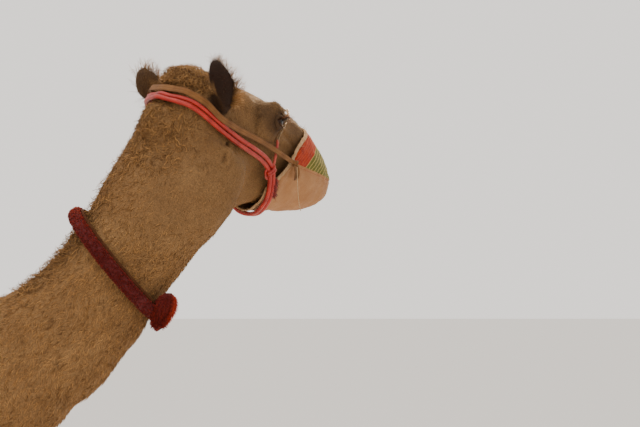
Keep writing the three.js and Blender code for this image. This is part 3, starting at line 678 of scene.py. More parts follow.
#         centre, radii, height
BODY_SWELLINGS = [(PAD_CENTRE, (0.15, 0.10, 0.07), 0.016)]
for end, side in (("fore", "right"), ("fore", "left"), ("hind", "right"), ("hind", "left")):
    sole = SOLES[end + "_" + side]
    out_y = -1 if side == "right" else 1
    if end == "fore":
        knee = Vector((sole.x + 0.010, sole.y, KNEE_Z))
        BODY_SWELLINGS += [
            (knee + Vector((0.05, 0, 0.01)), (0.030, 0.040, 0.055), 0.006),
            (knee + Vector((0.02, 0.05 * out_y, 0.02)), (0.030, 0.020, 0.035), 0.004),
            (knee + Vector((-0.05, 0, -0.02)), (0.022, 0.026, 0.05), 0.005),
            (Vector((sole.x - 0.07, sole.y, 0.30)), (0.018, 0.016, 0.16), 0.006),
            (Vector((WITHERS_X - 0.10, sole.y + 0.07 * out_y, 1.10)), (0.05, 0.05, 0.05), 0.012),
            (Vector((WITHERS_X + 0.10, sole.y + 0.10 * out_y, 1.33)), (0.10, 0.06, 0.16), 0.012),
            (Vector((WITHERS_X + 0.00, sole.y + 0.12 * out_y, 1.60)), (0.07, 0.08, 0.20), 0.010),
        ]
    else:
        hock = Vector((sole.x - 0.045, sole.y, HOCK_Z))
        BODY_SWELLINGS += [
            (hock + Vector((-0.050, 0, 0.03)), (0.022, 0.024, 0.055), 0.008),
            (hock + Vector((0.0, 0.045 * out_y, 0.0)), (0.035, 0.018, 0.035), 0.004),
            (hock + Vector((0.0, 0.030 * out_y, 0.14)), (0.016, 0.024, 0.09), -0.006),
            (Vector((sole.x - 0.05, sole.y, 0.33)), (0.018, 0.016, 0.16), 0.005),
            (Vector((sole.x + 0.17, sole.y + 0.10 * out_y, 1.12)), (0.06, 0.05, 0.07), 0.012),
            (Vector((sole.x - 0.02, sole.y + 0.12 * out_y, 1.62)), (0.09, 0.07, 0.07), 0.012),
        ]
for centre, radii, height in BODY_SWELLINGS:
    push += height * bell(points, centre, radii)
for cleft in TOE_CLEFTS:
    push += groove(points, cleft, 0.0085, 0.0100)

neck_line = points @ np.array(NECK_AXIS)
s = shares(points)
push += s["neck"] * 0.0016 * np.sin(neck_line / 0.028 + 2.2 * waves(points, 0.30, 5)) * smoothstep(
    -0.2, 0.5, waves(points, 0.35, 6))
push += (1 - s["head"]) * (1 - s["leg"]) * 0.0035 * waves(points, 0.17, 7)
push += s["hump"] * 0.006 * waves(points, 0.12, 8)
points = points + normals * push[:, None]
points[:, 2] = np.maximum(points[:, 2], 0.0)
set_vertices(skin.data, points)
mend(3, np.maximum(truly_thin, head_share(points)))
print("skin pushed by", push.min().round(4), "to", push.max().round(4))

# %% [markdown]
# ## Eyelids
#
# The lids are thick soft rims that wrap the front of the eyeball. Each pair is a grid of
# points on slightly larger spheres: one way round the almond opening, the other way out from
# its wet rim over the lid, down into the fold and under the hide. They are joined to the skin,
# and the hide round them is swollen a little to meet them.

# %% Directions about an eye
GAZE_AHEAD = 0.30                      # the eyes look mostly sideways, a little ahead
LID_TILT = math.radians(-9)            # the front corner of the eye is the lower one
OPEN_LONG, OPEN_UP, OPEN_DOWN = math.radians(45), math.radians(25), math.radians(21)
ALMOND = 1.5                           # 2 is an ellipse, 1 a diamond


def eye_axes(side):
    """Centre, gaze, ahead and up of an eye in the head's frame. side is -1 on the right."""
    centre = Vector((EYE.x, side * EYE.y, EYE.z))
    gaze = Vector((GAZE_AHEAD, side, 0.05)).normalized()
    up = (Vector((0, 0, 1)) - gaze * gaze.z).normalized()
    ahead = (Vector((1, 0, 0)) - gaze * gaze.x).normalized()
    ahead = (ahead - up * ahead.dot(up)).normalized()
    tilt = Matrix.Rotation(LID_TILT * -side, 3, gaze)
    return centre, gaze, tilt @ ahead, tilt @ up


def opening(turn):
    """Half angle of the opening towards a direction round the eye; 0 is ahead, 90 is up."""
    tall = OPEN_UP if math.sin(turn) > 0 else OPEN_DOWN
    return ((abs(math.cos(turn)) / OPEN_LONG) ** ALMOND
            + (abs(math.sin(turn)) / tall) ** ALMOND) ** (-1 / ALMOND)


def on_lid(side, turn, angle, radius):
    centre, gaze, ahead, up = eye_axes(side)
    sideways = ahead * math.cos(turn) + up * math.sin(turn)
    return centre + (gaze * math.cos(angle) + sideways * math.sin(angle)) * radius


# %% The lids
LID_EDGE = math.radians(68)            # where the lid has gone under the hide
#         share of the way from the opening to the edge, height over the eyeball
LID_ROWS = [(-0.05, 0.0002), (0.0, 0.0013), (0.06, 0.0028), (0.16, 0.0036), (0.30, 0.0038),
            (0.42, 0.0028), (0.50, 0.0036), (0.66, 0.0038), (0.84, 0.0016), (1.0, -0.003)]
LID_TURNS = 56
LID_RIM_R, LID_RIM_RISE, LID_RIM_SLOPE = 0.0184, 0.0132, 0.72    # the hide's ring about the lids

lids = []
for side in (-1, 1):
    bpy.ops.mesh.primitive_grid_add(x_subdivisions=LID_TURNS, y_subdivisions=len(LID_ROWS) - 1, size=2)
    lid = bpy.context.active_object
    for vertex in lid.data.vertices:
        turn = math.pi * (vertex.co.x + 1) * -side
        share, height = LID_ROWS[round((vertex.co.y + 1) / 2 * (len(LID_ROWS) - 1))]
        start = opening(turn)
        angle = start + share * (LID_EDGE - start)
        vertex.co = HEAD @ on_lid(side, turn, angle, EYE_R + height)
    closed_up(lid, 2e-5)
    face = lid.data.polygons[len(lid.data.polygons) // 2]
    eye_centre = HEAD @ eye_axes(side)[0]
    if face.normal.dot(face.center - eye_centre) < 0:
        lid.data.flip_normals()
    lids.append(lid)

points = vertices_of(skin.data)
for side in (-1, 1):
    centre, gaze, ahead, up = eye_axes(side)
    local = transformed(points, TO_HEAD) - np.array(centre)
    forward = local @ np.array(gaze)
    across = np.linalg.norm(local - forward[:, None] * np.array(gaze), axis=1)
    near = (forward > -0.02) & (across < 0.07)
    slope = LID_RIM_RISE - (across - LID_RIM_R) * LID_RIM_SLOPE
    outside = (forward + slope + np.sqrt((forward - slope) ** 2 + 0.004**2)) / 2
    under = np.minimum(forward, np.sqrt(np.maximum((EYE_R - 0.002) ** 2 - across**2, 0)))
    wanted = np.where(across < LID_RIM_R, under, outside)
    points = points + (near * (wanted - forward))[:, None] * np.array(HEAD.to_3x3() @ gaze)
set_vertices(skin.data, points)

joined([skin, *lids], "skin")
print("skin with lids:", triangle_count(skin.data), "triangles")

# %% [markdown]
# ## The colour of skin and coat
#
# Skin and tufts carry one set of markings. They are worked out once, in code, at the points of
# either mesh, and kept as the values "dark" (the brown ears, brows, crown, hump and tail, with
# painted shade along the creases of the jaw and throat and round the eyes) and "bare" (the
# calluses and the soles). A node group turns them, with a soft mottle, into colour.

# %% Markings at any points
KNEELING_PADS = [PAD_CENTRE]
for side, out_y in (("right", -1), ("left", 1)):
    fore, hind = SOLES["fore_" + side], SOLES["hind_" + side]
    KNEELING_PADS += [
        (fore.x + 0.075, fore.y, KNEE_Z + 0.005),
        (WITHERS_X - 0.135, fore.y + 0.055 * out_y, 1.09),
        (hind.x + 0.150, hind.y + 0.085 * out_y, 1.13),
    ]
PAD_RADII = [(0.13, 0.085, 0.06)] + [(0.035, 0.04, 0.045), (0.05, 0.05, 0.045), (0.05, 0.05, 0.05)] * 2


# Among these, the eye value is partly darker hair round the eye and partly painted shade in its socket, and
# the temple value is painted shade in the hollow behind the eye.
DARK_REGIONS = [("ear", 1.0), ("ear_root", 0.92), ("head", 0.17), ("crown", 0.24), ("poll", 0.26),
                ("nape", 0.28), ("eye", 1.0), ("temple_shade", 0.74), ("muzzle", 0.44), ("tail_tip", 0.85),
                ("throat", 0.12)]


def markings(points):
    s = shares(points)
    mottle = 0.5 + 0.5 * waves(points, 0.09, 11)
    dark = np.zeros(len(points))
    for region, value in DARK_REGIONS:
        dark = np.maximum(dark, value * np.clip(s[region], 0, 1))
    local = transformed(points, TO_HEAD)
    dark *= 1 - 0.20 * s["ear"] * (local[:, 1] > 0)                 # the left ear is the paler one
    # Painted shade: dark lines along the creases of the jaw and the throat.
    for crease, width, value in ((JAW_CREASE, 0.0050, 0.90), (THROAT_CREASE, 0.0032, 0.60)):
        away = distance_to_line(both_sides(local), crease)
        dark = np.maximum(dark, value * np.exp(-((away / width) ** 2)))
    crest = smoothstep(HUMP_LOW.z + 0.05, HUMP_HIGH.z, points[:, 2]) * s["hump"]
    dark = np.maximum(dark, 0.55 * crest)
    dark = np.clip(dark + 0.09 * (mottle - 0.5), 0, 1)
    pale = np.maximum(0.55 * s["belly"] * (1 - s["leg"]), 0.45 * s["shin"])
    pale = np.clip(pale + 0.10 * (mottle - 0.5), 0, 1) * (1 - dark)
    bare = np.zeros(len(points))
    for centre, radii in zip(KNEELING_PADS, PAD_RADII):
        bare = np.maximum(bare, smoothstep(0.32, 0.62, bell(points, centre, radii)))
    bare = np.maximum(bare, 1 - smoothstep(0.018, 0.034, points[:, 2]))
    return dark, pale, bare


def keep_values(mesh, **values):
    """Stores named float values on a mesh's vertices for its material to read."""
    for name, value in values.items():
        attribute = mesh.attributes.new(name=name, type="FLOAT", domain="POINT")
        attribute.data.foreach_set("value", np.asarray(value, dtype=np.float32))


# %% The coat's colour, as a node group
TAN = (0.272, 0.136, 0.046, 1)
TAN_LIGHT = (0.348, 0.190, 0.073, 1)
TAN_PALE = (0.42, 0.26, 0.125, 1)
BROWN = (0.023, 0.0064, 0.0012, 1)
HIDE = (0.10, 0.075, 0.058, 1)


class Tree:
    """A short hand for wiring nodes."""

    def __init__(self, tree):
        self.tree = tree

    def add(self, kind, **settings):
        node = self.tree.nodes.new(kind)
        inputs = settings.pop("inputs", {})
        for name, value in settings.items():
            setattr(node, name, value)
        for name, value in inputs.items():
            self.give(node.inputs[name], value)
        return node

    def give(self, socket, value):
        if isinstance(value, bpy.types.NodeSocket):
            self.tree.links.new(value, socket)
        else:
            socket.default_value = value

    def value(self, name):
        return self.add("ShaderNodeAttribute", attribute_name=name).outputs["Fac"]

    def place(self):
        return self.add("ShaderNodeTexCoord").outputs["Object"]

    def round_and_along(self):
        """The two halves of the piece's UV map."""
        uv = self.add("ShaderNodeTexCoord").outputs["UV"]
        return self.add("ShaderNodeSeparateXYZ", inputs={"Vector": uv}).outputs[:2]

    def hills(self, value):
        """Round ridges, one for each whole step of the value."""
        return self.math("ABSOLUTE", self.math("SINE", self.math("MULTIPLY", value, math.pi)))

    def math(self, operation, a, b=0.5, clamp=False):
        node = self.add("ShaderNodeMath", operation=operation, use_clamp=clamp)
        self.give(node.inputs[0], a)
        self.give(node.inputs[1], b)
        return node.outputs[0]

    def mix(self, share, a, b, blend="MIX"):
        node = self.add("ShaderNodeMix", data_type="RGBA", blend_type=blend)
        self.give(node.inputs[0], share)
        self.give(node.inputs[6], a)
        self.give(node.inputs[7], b)
        return node.outputs[2]

    def noise(self, scale, detail=3.0, roughness=0.6, vector=None):
        node = self.add("ShaderNodeTexNoise", inputs={
            "Scale": scale, "Detail": detail, "Roughness": roughness})
        if vector is not None:
            self.give(node.inputs["Vector"], vector)
        return node.outputs["Fac"]

    def ramp(self, value, stops):
        node = self.add("ShaderNodeValToRGB", inputs={"Fac": value})
        elements = node.color_ramp.elements
        while len(elements) < len(stops):
            elements.new(0.5)
        for element, (place, colour) in zip(elements, stops):
            element.position = place
            element.color = colour if isinstance(colour, tuple) else (colour, colour, colour, 1)
        return node.outputs["Color"]

    def paint(self, shader, colour):
        self.give(shader.inputs["Base Color"], colour)

    def bump(self, shader, height, distance, strength=0.8):
        node = self.add("ShaderNodeBump", inputs={
            "Height": height, "Distance": distance, "Strength": strength})
        self.give(shader.inputs["Normal"], node.outputs["Normal"])


def settle(shader, **values):
    """Constants, set on the shader's own sockets. _ stands for a space in a socket's name."""
    for name, value in values.items():
        shader.inputs[name.replace("_", " ")].default_value = value


def new_group(name, takes, gives):
    tree = bpy.data.node_groups.new(name, "ShaderNodeTree")
    for socket, kind in takes.items():
        tree.interface.new_socket(socket, in_out="INPUT", socket_type=kind)
    for socket, kind in gives.items():
        tree.interface.new_socket(socket, in_out="OUTPUT", socket_type=kind)
    t = Tree(tree)
    return t, t.add("NodeGroupInput").outputs, t.add("NodeGroupOutput").inputs


coat_colour, takes, gives = new_group(
    "coat colour",
    {"Dark": "NodeSocketFloat", "Pale": "NodeSocketFloat", "Bare": "NodeSocketFloat",
     "Tuft": "NodeSocketFloat"},
    {"Colour": "NodeSocketColor"},
)
place = coat_colour.place()
patches = coat_colour.noise(9.0, 4, 0.6, place)
specks = coat_colour.noise(70.0, 3, 0.65, place)
tan = coat_colour.mix(coat_colour.ramp(patches, [(0.30, 0.0), (0.72, 1.0)]), TAN, TAN_LIGHT)
tan = coat_colour.mix(takes["Pale"], tan, TAN_PALE)
tan = coat_colour.mix(takes["Dark"], tan, BROWN)
speckled = coat_colour.mix(
    coat_colour.math("MULTIPLY", coat_colour.ramp(specks, [(0.50, 0.0), (0.66, 1.0)]), 0.10),
    tan, BROWN)
tuft_tone = coat_colour.ramp(takes["Tuft"], [
    (0.0, (0.34, 0.29, 0.25, 1)), (0.25, (0.68, 0.63, 0.58, 1)), (0.5, (1.0, 1.0, 1.0, 1)),
    (0.80, (1.24, 1.23, 1.19, 1)), (1.0, (1.56, 1.53, 1.43, 1))])
toned = coat_colour.mix(1.0, speckled, tuft_tone, "MULTIPLY")
coat_colour.give(gives["Colour"], coat_colour.mix(takes["Bare"], toned, HIDE))


# %% Skin and coat materials
def material(name):
    finish = bpy.data.materials.new(name)
    finish.use_nodes = True
    return finish, Tree(finish.node_tree), finish.node_tree.nodes["Principled BSDF"]


def use_group(t, group_tree, **values):
    node = t.add("ShaderNodeGroup", node_tree=group_tree.tree)
    for name, value in values.items():
        t.give(node.inputs[name], value)
    return node.outputs


skin_finish, t, shader = material("camel hide")
place = t.place()
base = use_group(t, coat_colour, Dark=t.value("dark"), Pale=t.value("pale"), Bare=t.value("bare"),
                 Tuft=0.5)["Colour"]
hairs = t.noise(420.0, 3, 0.7, place)
cracks = t.add("ShaderNodeTexVoronoi", feature="DISTANCE_TO_EDGE", inputs={
    "Vector": place, "Scale": 210.0}).outputs["Distance"]
# Painted shade: the skin is darkened in fine streaks, so that it shows dark between the locks of the coat.
shade = t.ramp(hairs, [(0.35, 0.30), (0.68, 0.80)])
t.paint(shader, t.mix(1.0, base, shade, "MULTIPLY"))
settle(shader, Roughness=0.82, Specular_IOR_Level=0.25)
relief = t.math("ADD", t.math("MULTIPLY", hairs, 1.0),
                t.math("MULTIPLY", t.ramp(cracks, [(0.0, 0.0), (0.12, 1.0)]), t.value("bare")))
t.bump(shader, relief, 0.0012)

coat_finish, t, shader = material("camel coat")
base = use_group(t, coat_colour, Dark=t.value("dark"), Pale=t.value("pale"), Bare=0.0,
                 Tuft=t.value("tuft"))["Colour"]
# Painted shade: each lock is darker at its root, where the locks shade one another, and a little lighter at
# its tip.
along = t.ramp(t.value("tip"), [(0.0, 0.50), (0.45, 0.90), (1.0, 1.18)])
t.paint(shader, t.mix(1.0, base, along, "MULTIPLY"))
settle(shader, Roughness=0.62, Sheen_Weight=0.04, Specular_IOR_Level=0.12, Sheen_Roughness=0.4,
       Sheen_Tint=(1.0, 0.72, 0.42, 1))

dark, pale, bare = markings(vertices_of(skin.data))
keep_values(skin.data, dark=dark, pale=pale, bare=bare)
complete(skin, skin_finish, "tan_coat", *FLESH)

# %% [markdown]
# ## The coat
#
# Hair particles do not leave Blender as mesh, so the coat is many small solid locks. One lock
# is modelled: a three sided cone, cut once across so that it can bend. It is then set on the
# skin thousands of times, each copy scaled, turned to the lie of the coat and bent back down.
# The copies are worked out as arrays, because that many objects would take minutes to join.

# %% One lock of hair
def lock_shape(cuts):
    """(across, up, along) of each corner, and the triangles, of a lock one unit long."""
    deselect()
    bpy.ops.mesh.primitive_cone_add(vertices=3, radius1=1, radius2=0, depth=1, location=(0, 0, 0.5))
    lock = bpy.context.active_object
    edit_mode()
    for i in range(cuts):
        bpy.ops.mesh.select_all(action="SELECT")
        bpy.ops.mesh.bisect(plane_co=(0, 0, (i + 1) / (cuts + 1)), plane_no=(0, 0, 1))
    bpy.ops.mesh.select_all(action="SELECT")
    bpy.ops.mesh.quads_convert_to_tris()
    bpy.ops.mesh.normals_make_consistent(inside=False)
    object_mode()
    corners = vertices_of(lock.data) + [0, 0, 0.5]
    faces = np.array([list(face.vertices) for face in lock.data.polygons])
    taper = np.maximum(1 - corners[:, 2], 1e-6)
    plump = np.sqrt(taper) / taper * (corners[:, 2] < 0.999)       # fuller than a plain cone
    corners[:, :2] *= plump[:, None]
    mesh = lock.data
    bpy.data.objects.remove(lock)
    bpy.data.meshes.remove(mesh)
    return corners, faces


SHORT_LOCK = lock_shape(0)
BENT_LOCK = lock_shape(1)
CURLY_LOCK = lock_shape(3)
print("triangles in a lock:", len(SHORT_LOCK[1]), len(BENT_LOCK[1]), len(CURLY_LOCK[1]))

# %% The skin as arrays, for growing on
skin_points = vertices_of(skin.data)
skin_normals = normals_of(skin.data)
skin.data.calc_loop_triangles()
skin_faces = np.empty(len(skin.data.loop_triangles) * 3, dtype=np.int64)
skin.data.loop_triangles.foreach_get("vertices", skin_faces)
skin_faces = skin_faces.reshape(-1, 3)
face_corners = skin_points[skin_faces]
face_centres = face_corners.mean(axis=1)
face_areas = 0.5 * np.linalg.norm(
    np.cross(face_corners[:, 1] - face_corners[:, 0], face_corners[:, 2] - face_corners[:, 0]), axis=1)
print("skin area:", face_areas.sum().round(2), "square metres")
centre_shares = shares(face_centres)
centre_bare = markings(face_centres)[2]


def unit(vectors):
    return vectors / np.maximum(np.linalg.norm(vectors, axis=-1, keepdims=True), 1e-12)


def unwrapped(points):
    """The skin unrolled: round each limb, and along it, each limb in its own strip."""
    local = transformed(points, TO_HEAD)
    s = shares(points)
    x, y, z = points.T
    strip = np.full(len(points), 1)                         # the trunk and the hump
    u = np.arctan2(y - MIDLINE_Y, z - 1.45) / (2 * math.pi) + 0.5
    v = (x + 1.35) / 1.9
    neck = s["neck"] > 0.5
    strip[neck] = 2
    along, back = place_on_neck(points)
    off = back - np.interp(along, NECK_MARKS, NECK_MIDDLES)
    u[neck] = (np.arctan2(y - MIDLINE_Y, off) / (2 * math.pi) + 0.5)[neck]
    v[neck] = (along / 0.95 + 0.1)[neck]
    head = s["head"] > 0.5
    strip[head] = 3
    u[head] = (np.arctan2(local[:, 1], local[:, 2] + 0.10) / (2 * math.pi) + 0.5)[head]
    v[head] = ((local[:, 0] + 0.16) / 0.72)[head]
    leg = s["leg"] > 0.5
    hind, left = x < -0.5, y > MIDLINE_Y
    for number, (name, mine) in enumerate((
            ("fore_right", ~hind & ~left), ("fore_left", ~hind & left),
            ("hind_right", hind & ~left), ("hind_left", hind & left))):
        mine = mine & leg
        strip[mine] = 4 + number
        u[mine] = (np.arctan2(y - SOLES[name].y, x - SOLES[name].x) / (2 * math.pi) + 0.5)[mine]
        v[mine] = (z / 1.15)[mine]
    u = (np.clip(u, 0.01, 0.99) + strip - 1) / 7
    return np.stack([u, np.clip(v, 0.01, 0.99)], axis=1)


# %% The lie of the coat
#      region, direction that hair lies in; those in the head's frame come first
LIE_ON_HEAD = [("head", (-0.55, 0.0, -0.80)), ("muzzle", (-0.3, 0.0, -0.9)), ("crown", (-0.75, 0.0, 0.35)),
               ("poll", (-0.75, 0.0, -0.5)), ("ear", (-0.35, 0.0, 0.9))]
LIE_ON_BODY = [("neck", tuple(-NECK_AXIS)), ("leg", (-0.12, 0.0, -1.0)), ("foot", (0.3, 0.0, -0.8)),
               ("tail", (0.0, 0.0, -1.0))]


def lie_of_coat(points, normals, wander):
    s = shares(points)
    way = np.tile([-0.80, 0.0, -0.60], (len(points), 1))
    for region, direction in LIE_ON_BODY:
        way += (np.array(direction) - way) * s[region][:, None]
    for region, direction in LIE_ON_HEAD:
        way += (HEAD_TURN @ np.array(direction) - way) * np.clip(s[region], 0, 1)[:, None]
    swirl = np.stack([waves(points, 0.11, 21 + k) for k in range(3)], axis=1)
    way = way + wander[:, None] * swirl
    way -= normals * (way * normals).sum(axis=1)[:, None]
    return unit(way)


# %% Setting locks on the skin
UV_PATCH = 0.003


def mesh_of(name, points, triangles, uv_name, uv, **values):
    mesh = bpy.data.meshes.new(name)
    mesh.vertices.add(len(points))
    mesh.vertices.foreach_set("co", points.astype(np.float32).ravel())
    mesh.loops.add(triangles.size)
    mesh.loops.foreach_set("vertex_index", triangles.astype(np.int32).ravel())
    mesh.polygons.add(len(triangles))
    mesh.polygons.foreach_set("loop_start", np.arange(0, triangles.size, 3, dtype=np.int32))
    mesh.polygons.foreach_set("use_smooth", np.ones(len(triangles), dtype=bool))
    if uv is not None:
        layer = mesh.uv_layers.new(name=uv_name)
        layer.data.foreach_set("uv", uv[triangles.ravel()].astype(np.float32).ravel())
    mesh.update()
    keep_values(mesh, **values)
    return linked(name, mesh)


def grow(name, lock, share, spacing, length, radius, stand, bend, wander, curl, seed, slot, flat=0.55,
         clump=0.030, darker=1.0, grain=None, scatter=0.14):
    """One coat piece. share: 0 to 1 over the skin's faces; spacing, length, radius in metres.
    stand and bend are a lock's angles to the skin at its root and its tip, in degrees. clump is
    how far a shade of hair reaches, and grain is the way that shades are drawn out in streaks.
    scatter is how much neighbours differ, and darker scales the brown of the markings."""
    draw = np.random.default_rng(seed)
    wanted = face_areas * share * (1 - centre_bare) / spacing**2
    number = np.floor(wanted + draw.random(len(wanted))).astype(int)
    face = np.repeat(np.arange(len(wanted)), number)
    n = len(face)
    a, b = draw.random(n), draw.random(n)
    over = a + b > 1
    a[over], b[over] = 1 - a[over], 1 - b[over]
    weights = np.stack([1 - a - b, a, b], axis=1)[:, :, None]
    root = (skin_points[skin_faces[face]] * weights).sum(axis=1)
    normal = unit((skin_normals[skin_faces[face]] * weights).sum(axis=1))
    along = lie_of_coat(root, normal, np.full(n, wander))
    across = np.cross(normal, along)
    spin = draw.normal(0, 0.16 + 0.5 * curl, n)
    along, across = (along * np.cos(spin)[:, None] + across * np.sin(spin)[:, None],
                     across * np.cos(spin)[:, None] - along * np.sin(spin)[:, None])
    size = draw.uniform(0.72, 1.22, n)
    long = (length(root) if callable(length) else length) * size
    stand_up = np.radians(stand * draw.uniform(0.7, 1.3, n))
    lie_down = np.radians(bend * draw.uniform(0.5, 1.5, n))
    twist = draw.normal(0, 1, n) * curl

    corners, faces = lock
    levels = np.unique(corners[:, 2].round(6))
    centre = {levels[0]: root - normal * 0.0012}
    frames = {}
    previous = levels[0]
    for k, level in enumerate(levels):
        t = k / max(len(levels) - 1, 1)
        lift = stand_up + (lie_down - stand_up) * t
        yaw = twist * (t * 2.4)
        flat_way = along * np.cos(yaw)[:, None] + across * np.sin(yaw)[:, None]
        way = flat_way * np.cos(lift)[:, None] + normal * np.sin(lift)[:, None]
        side = unit(np.cross(normal, way))
        frames[level] = (side, np.cross(way, side))
        if k:
            step = ((level - previous) * long)[:, None]
            centre[level] = centre[previous] + way * step
            previous = level
    points = np.empty((n, len(corners), 3))
    width = radius * size
    for j, (p, q, level) in enumerate(corners):
        level = round(float(level), 6)
        side, up = frames[level]
        points[:, j] = centre[level] + (side * p + up * q * flat) * width[:, None]
    points = points.reshape(-1, 3)
    points[:, 2] = np.maximum(points[:, 2], 0.0005)

    m = len(corners)
    triangles = (np.arange(n)[:, None, None] * m + faces[None]).reshape(-1, 3)
    spot = (corners[:, :2] * 0.5 + corners[:, 2:] * 0.25) * UV_PATCH
    uv = (unwrapped(root)[:, None, :] + spot[None]).reshape(-1, 2)
    dark, pale, _ = markings(root)
    streak = root
    if grain is not None:
        grain = np.array(grain) / np.linalg.norm(grain)
        streak = root - 0.80 * (root @ grain)[:, None] * grain + 0.008 * waves(root, 0.09, seed + 9)[:, None]
    clumps = 0.5 + 0.30 * waves(streak, clump, seed + 7) + draw.normal(0, scatter, n)
    piece = mesh_of(
        name, points, triangles, "OFBake", uv,
        dark=np.repeat(dark * darker, m), pale=np.repeat(pale, m),
        tuft=np.repeat(np.clip(clumps, 0, 1), m), tip=np.tile(corners[:, 2], n),
    )
    complete(piece, coat_finish, slot)


# %% Short coat of the face, neck, trunk and legs
c = centre_shares
ear_hair = np.clip(c["ear"], 0, 1)
face_hair = c["head"] * (1 - ear_hair) * (1 - c["crown"]) * (1 - c["poll"]) * (1 - 0.4 * c["eye"])
neck_hair = np.clip(c["neck"] + c["head"] * np.maximum(c["poll"], 0), 0, 1)
trunk_hair = (1 - c["head"]) * (1 - c["neck"]) * (1 - c["leg"]) * (1 - c["hump"]) * (1 - c["tail"])
halves = {"right": face_centres[:, 1] < MIDLINE_Y, "left": face_centres[:, 1] >= MIDLINE_Y}
face_halves = {"right": transformed(face_centres, TO_HEAD)[:, 1] < 0}
face_halves["left"] = ~face_halves["right"]

ALONG_FACE = HEAD.to_3x3() @ Vector((-0.55, 0.0, -0.80))
ALONG_TRUNK = (-0.80, 0.0, -0.60)
for seed, hand in ((100, "right"), (200, "left")):
    half = halves[hand]
    grow("coat_face_" + hand, SHORT_LOCK, face_hair * face_halves[hand], 0.0027, 0.0072, 0.00046,
         24, 24, 0.10, 0.0, seed + 1, "tan_coat", clump=0.012, grain=ALONG_FACE)
    grow("coat_neck_" + hand, BENT_LOCK, neck_hair * half, 0.0043, 0.0150, 0.00086,
         34, 5, 0.40, 0.24, seed + 3, "tan_coat", clump=0.014, grain=NECK_AXIS, scatter=0.22)
    grow("coat_trunk_" + hand, SHORT_LOCK, trunk_hair * half, 0.0064, 0.0180, 0.00110,
         15, 15, 0.30, 0.10, seed + 5, "tan_coat", clump=0.018, grain=ALONG_TRUNK, scatter=0.18)
grow("coat_legs", SHORT_LOCK, c["leg"] * (1 - c["tail"]), 0.0062, 0.0115, 0.00084, 17, 17, 0.10, 0.05, 107,
     "tan_coat", clump=0.014, grain=(0, 0, 1))
grow("coat_tail_root", BENT_LOCK, c["tail"] * (1 - c["tail_tip"]), 0.0058, 0.0160, 0.00090, 22, 8, 0.10, 0.1,
     108, "tan_coat")

# %% Long curly coat of the crown, the nape, the hump and the tail
grow("coat_crown", CURLY_LOCK, c["crown"] * (1 - ear_hair) * c["head"], 0.0034, 0.021, 0.00090, 58, 0,
     0.6, 1.2, 111, "dark_coat", clump=0.011, scatter=0.22)
grow("coat_curls", CURLY_LOCK, smoothstep(0.12, 0.55, c["poll"]) * (1 - c["crown"]) * (1 - ear_hair),
     0.0070, 0.022, 0.00110, 34, 2, 0.9, 0.8, 117, "dark_coat", clump=0.012, darker=1.3, scatter=0.24)
grow("coat_nape", CURLY_LOCK, c["nape"], 0.0064, 0.028, 0.00105, 50, 8, 0.5, 0.7, 112, "dark_coat",
     clump=0.016, scatter=0.20)
grow("coat_hump", CURLY_LOCK, c["hump"] * (1 - c["neck"]), 0.0085, 0.037, 0.00145, 44, 4, 0.6, 0.6, 113,
     "dark_coat")
grow("coat_tail", CURLY_LOCK, c["tail_tip"], 0.0046, 0.070, 0.00105, 26, -6, 0.15, 0.15, 114, "dark_coat")
grow("coat_brows", BENT_LOCK, c["brow"], 0.0030, 0.0125, 0.00042, 44, 10, 0.15, 0.2, 115, "dark_coat",
     darker=0.8)

# %% Hair of the ears
# The leaf of an ear is thin. A ray into the ear from its broad faces soon comes out again, but
# from its rim it runs on through the leaf, and that tells the rim apart. The ears have a short
# velvet all over, and a long loose fringe on the rim and the hollow that face ahead.
EAR_LEAF = 0.0140
EAR_OPENS = HEAD.to_3x3() @ Vector((1.0, 0.0, 0.1))
skin_tree = BVHTree.FromPolygons([Vector(p) for p in skin_points], [tuple(f) for f in skin_faces])
on_rim = np.zeros(len(face_centres))
for i in np.flatnonzero(ear_hair > 0.6):
    inwards = Vector(-skin_normals[skin_faces[i]].mean(axis=0)).normalized()
    start = Vector(face_centres[i]) + inwards * 0.0008
    found = skin_tree.ray_cast(start, inwards)[0]
    faces_ahead = -inwards.dot(EAR_OPENS) > 0.10
    on_rim[i] = 1.0 if faces_ahead and found and (found - start).length > EAR_LEAF else 0.0
grow("coat_ears", SHORT_LOCK, ear_hair, 0.0021, 0.0070, 0.00040, 24, 24, 0.10, 0.1, 102, "dark_coat")


def fringe_length(points):
    """The fringe is longest low on the ear, where it bushes out over the hollow."""
    return 0.017 + 0.017 * smoothstep(0.070, 0.0, transformed(points, TO_HEAD)[:, 2])


# The fringe keeps only a sixth of the ear's brown: it is pale ear hair, made paler still as painted warm
# light on the fringe.
grow("ear_fringe", CURLY_LOCK, on_rim * ear_hair, 0.0023, fringe_length, 0.00050, 52, 26, 0.25, 0.45, 116,
     "dark_coat", darker=0.16)

# %% [markdown]
# ## Tubes and strands
#
# Ropes, cords, straps and bindings are all one thing to a maker: a section carried along a
# line. Each is a grid, wrapped round its route and closed at its ends, so it keeps a UV map
# with u round it and v along it for its weave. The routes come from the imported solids: the
# corners of a swept solid lie in rings, and the middles of the rings give the line. Lashes,
# yarn and frayed ends are thinner and many, so they are built together as arrays.

# %% The rings of a swept solid
def corners_and_edges(node):
    copy = bmesh.new()
    copy.from_mesh(NODES[node].data)
    bmesh.ops.remove_doubles(copy, verts=copy.verts, dist=1e-5)
    corners = np.array([vertex.co for vertex in copy.verts])
    edges = np.array([[vertex.index for vertex in edge.verts] for edge in copy.edges])
    copy.free()
    return corners, edges


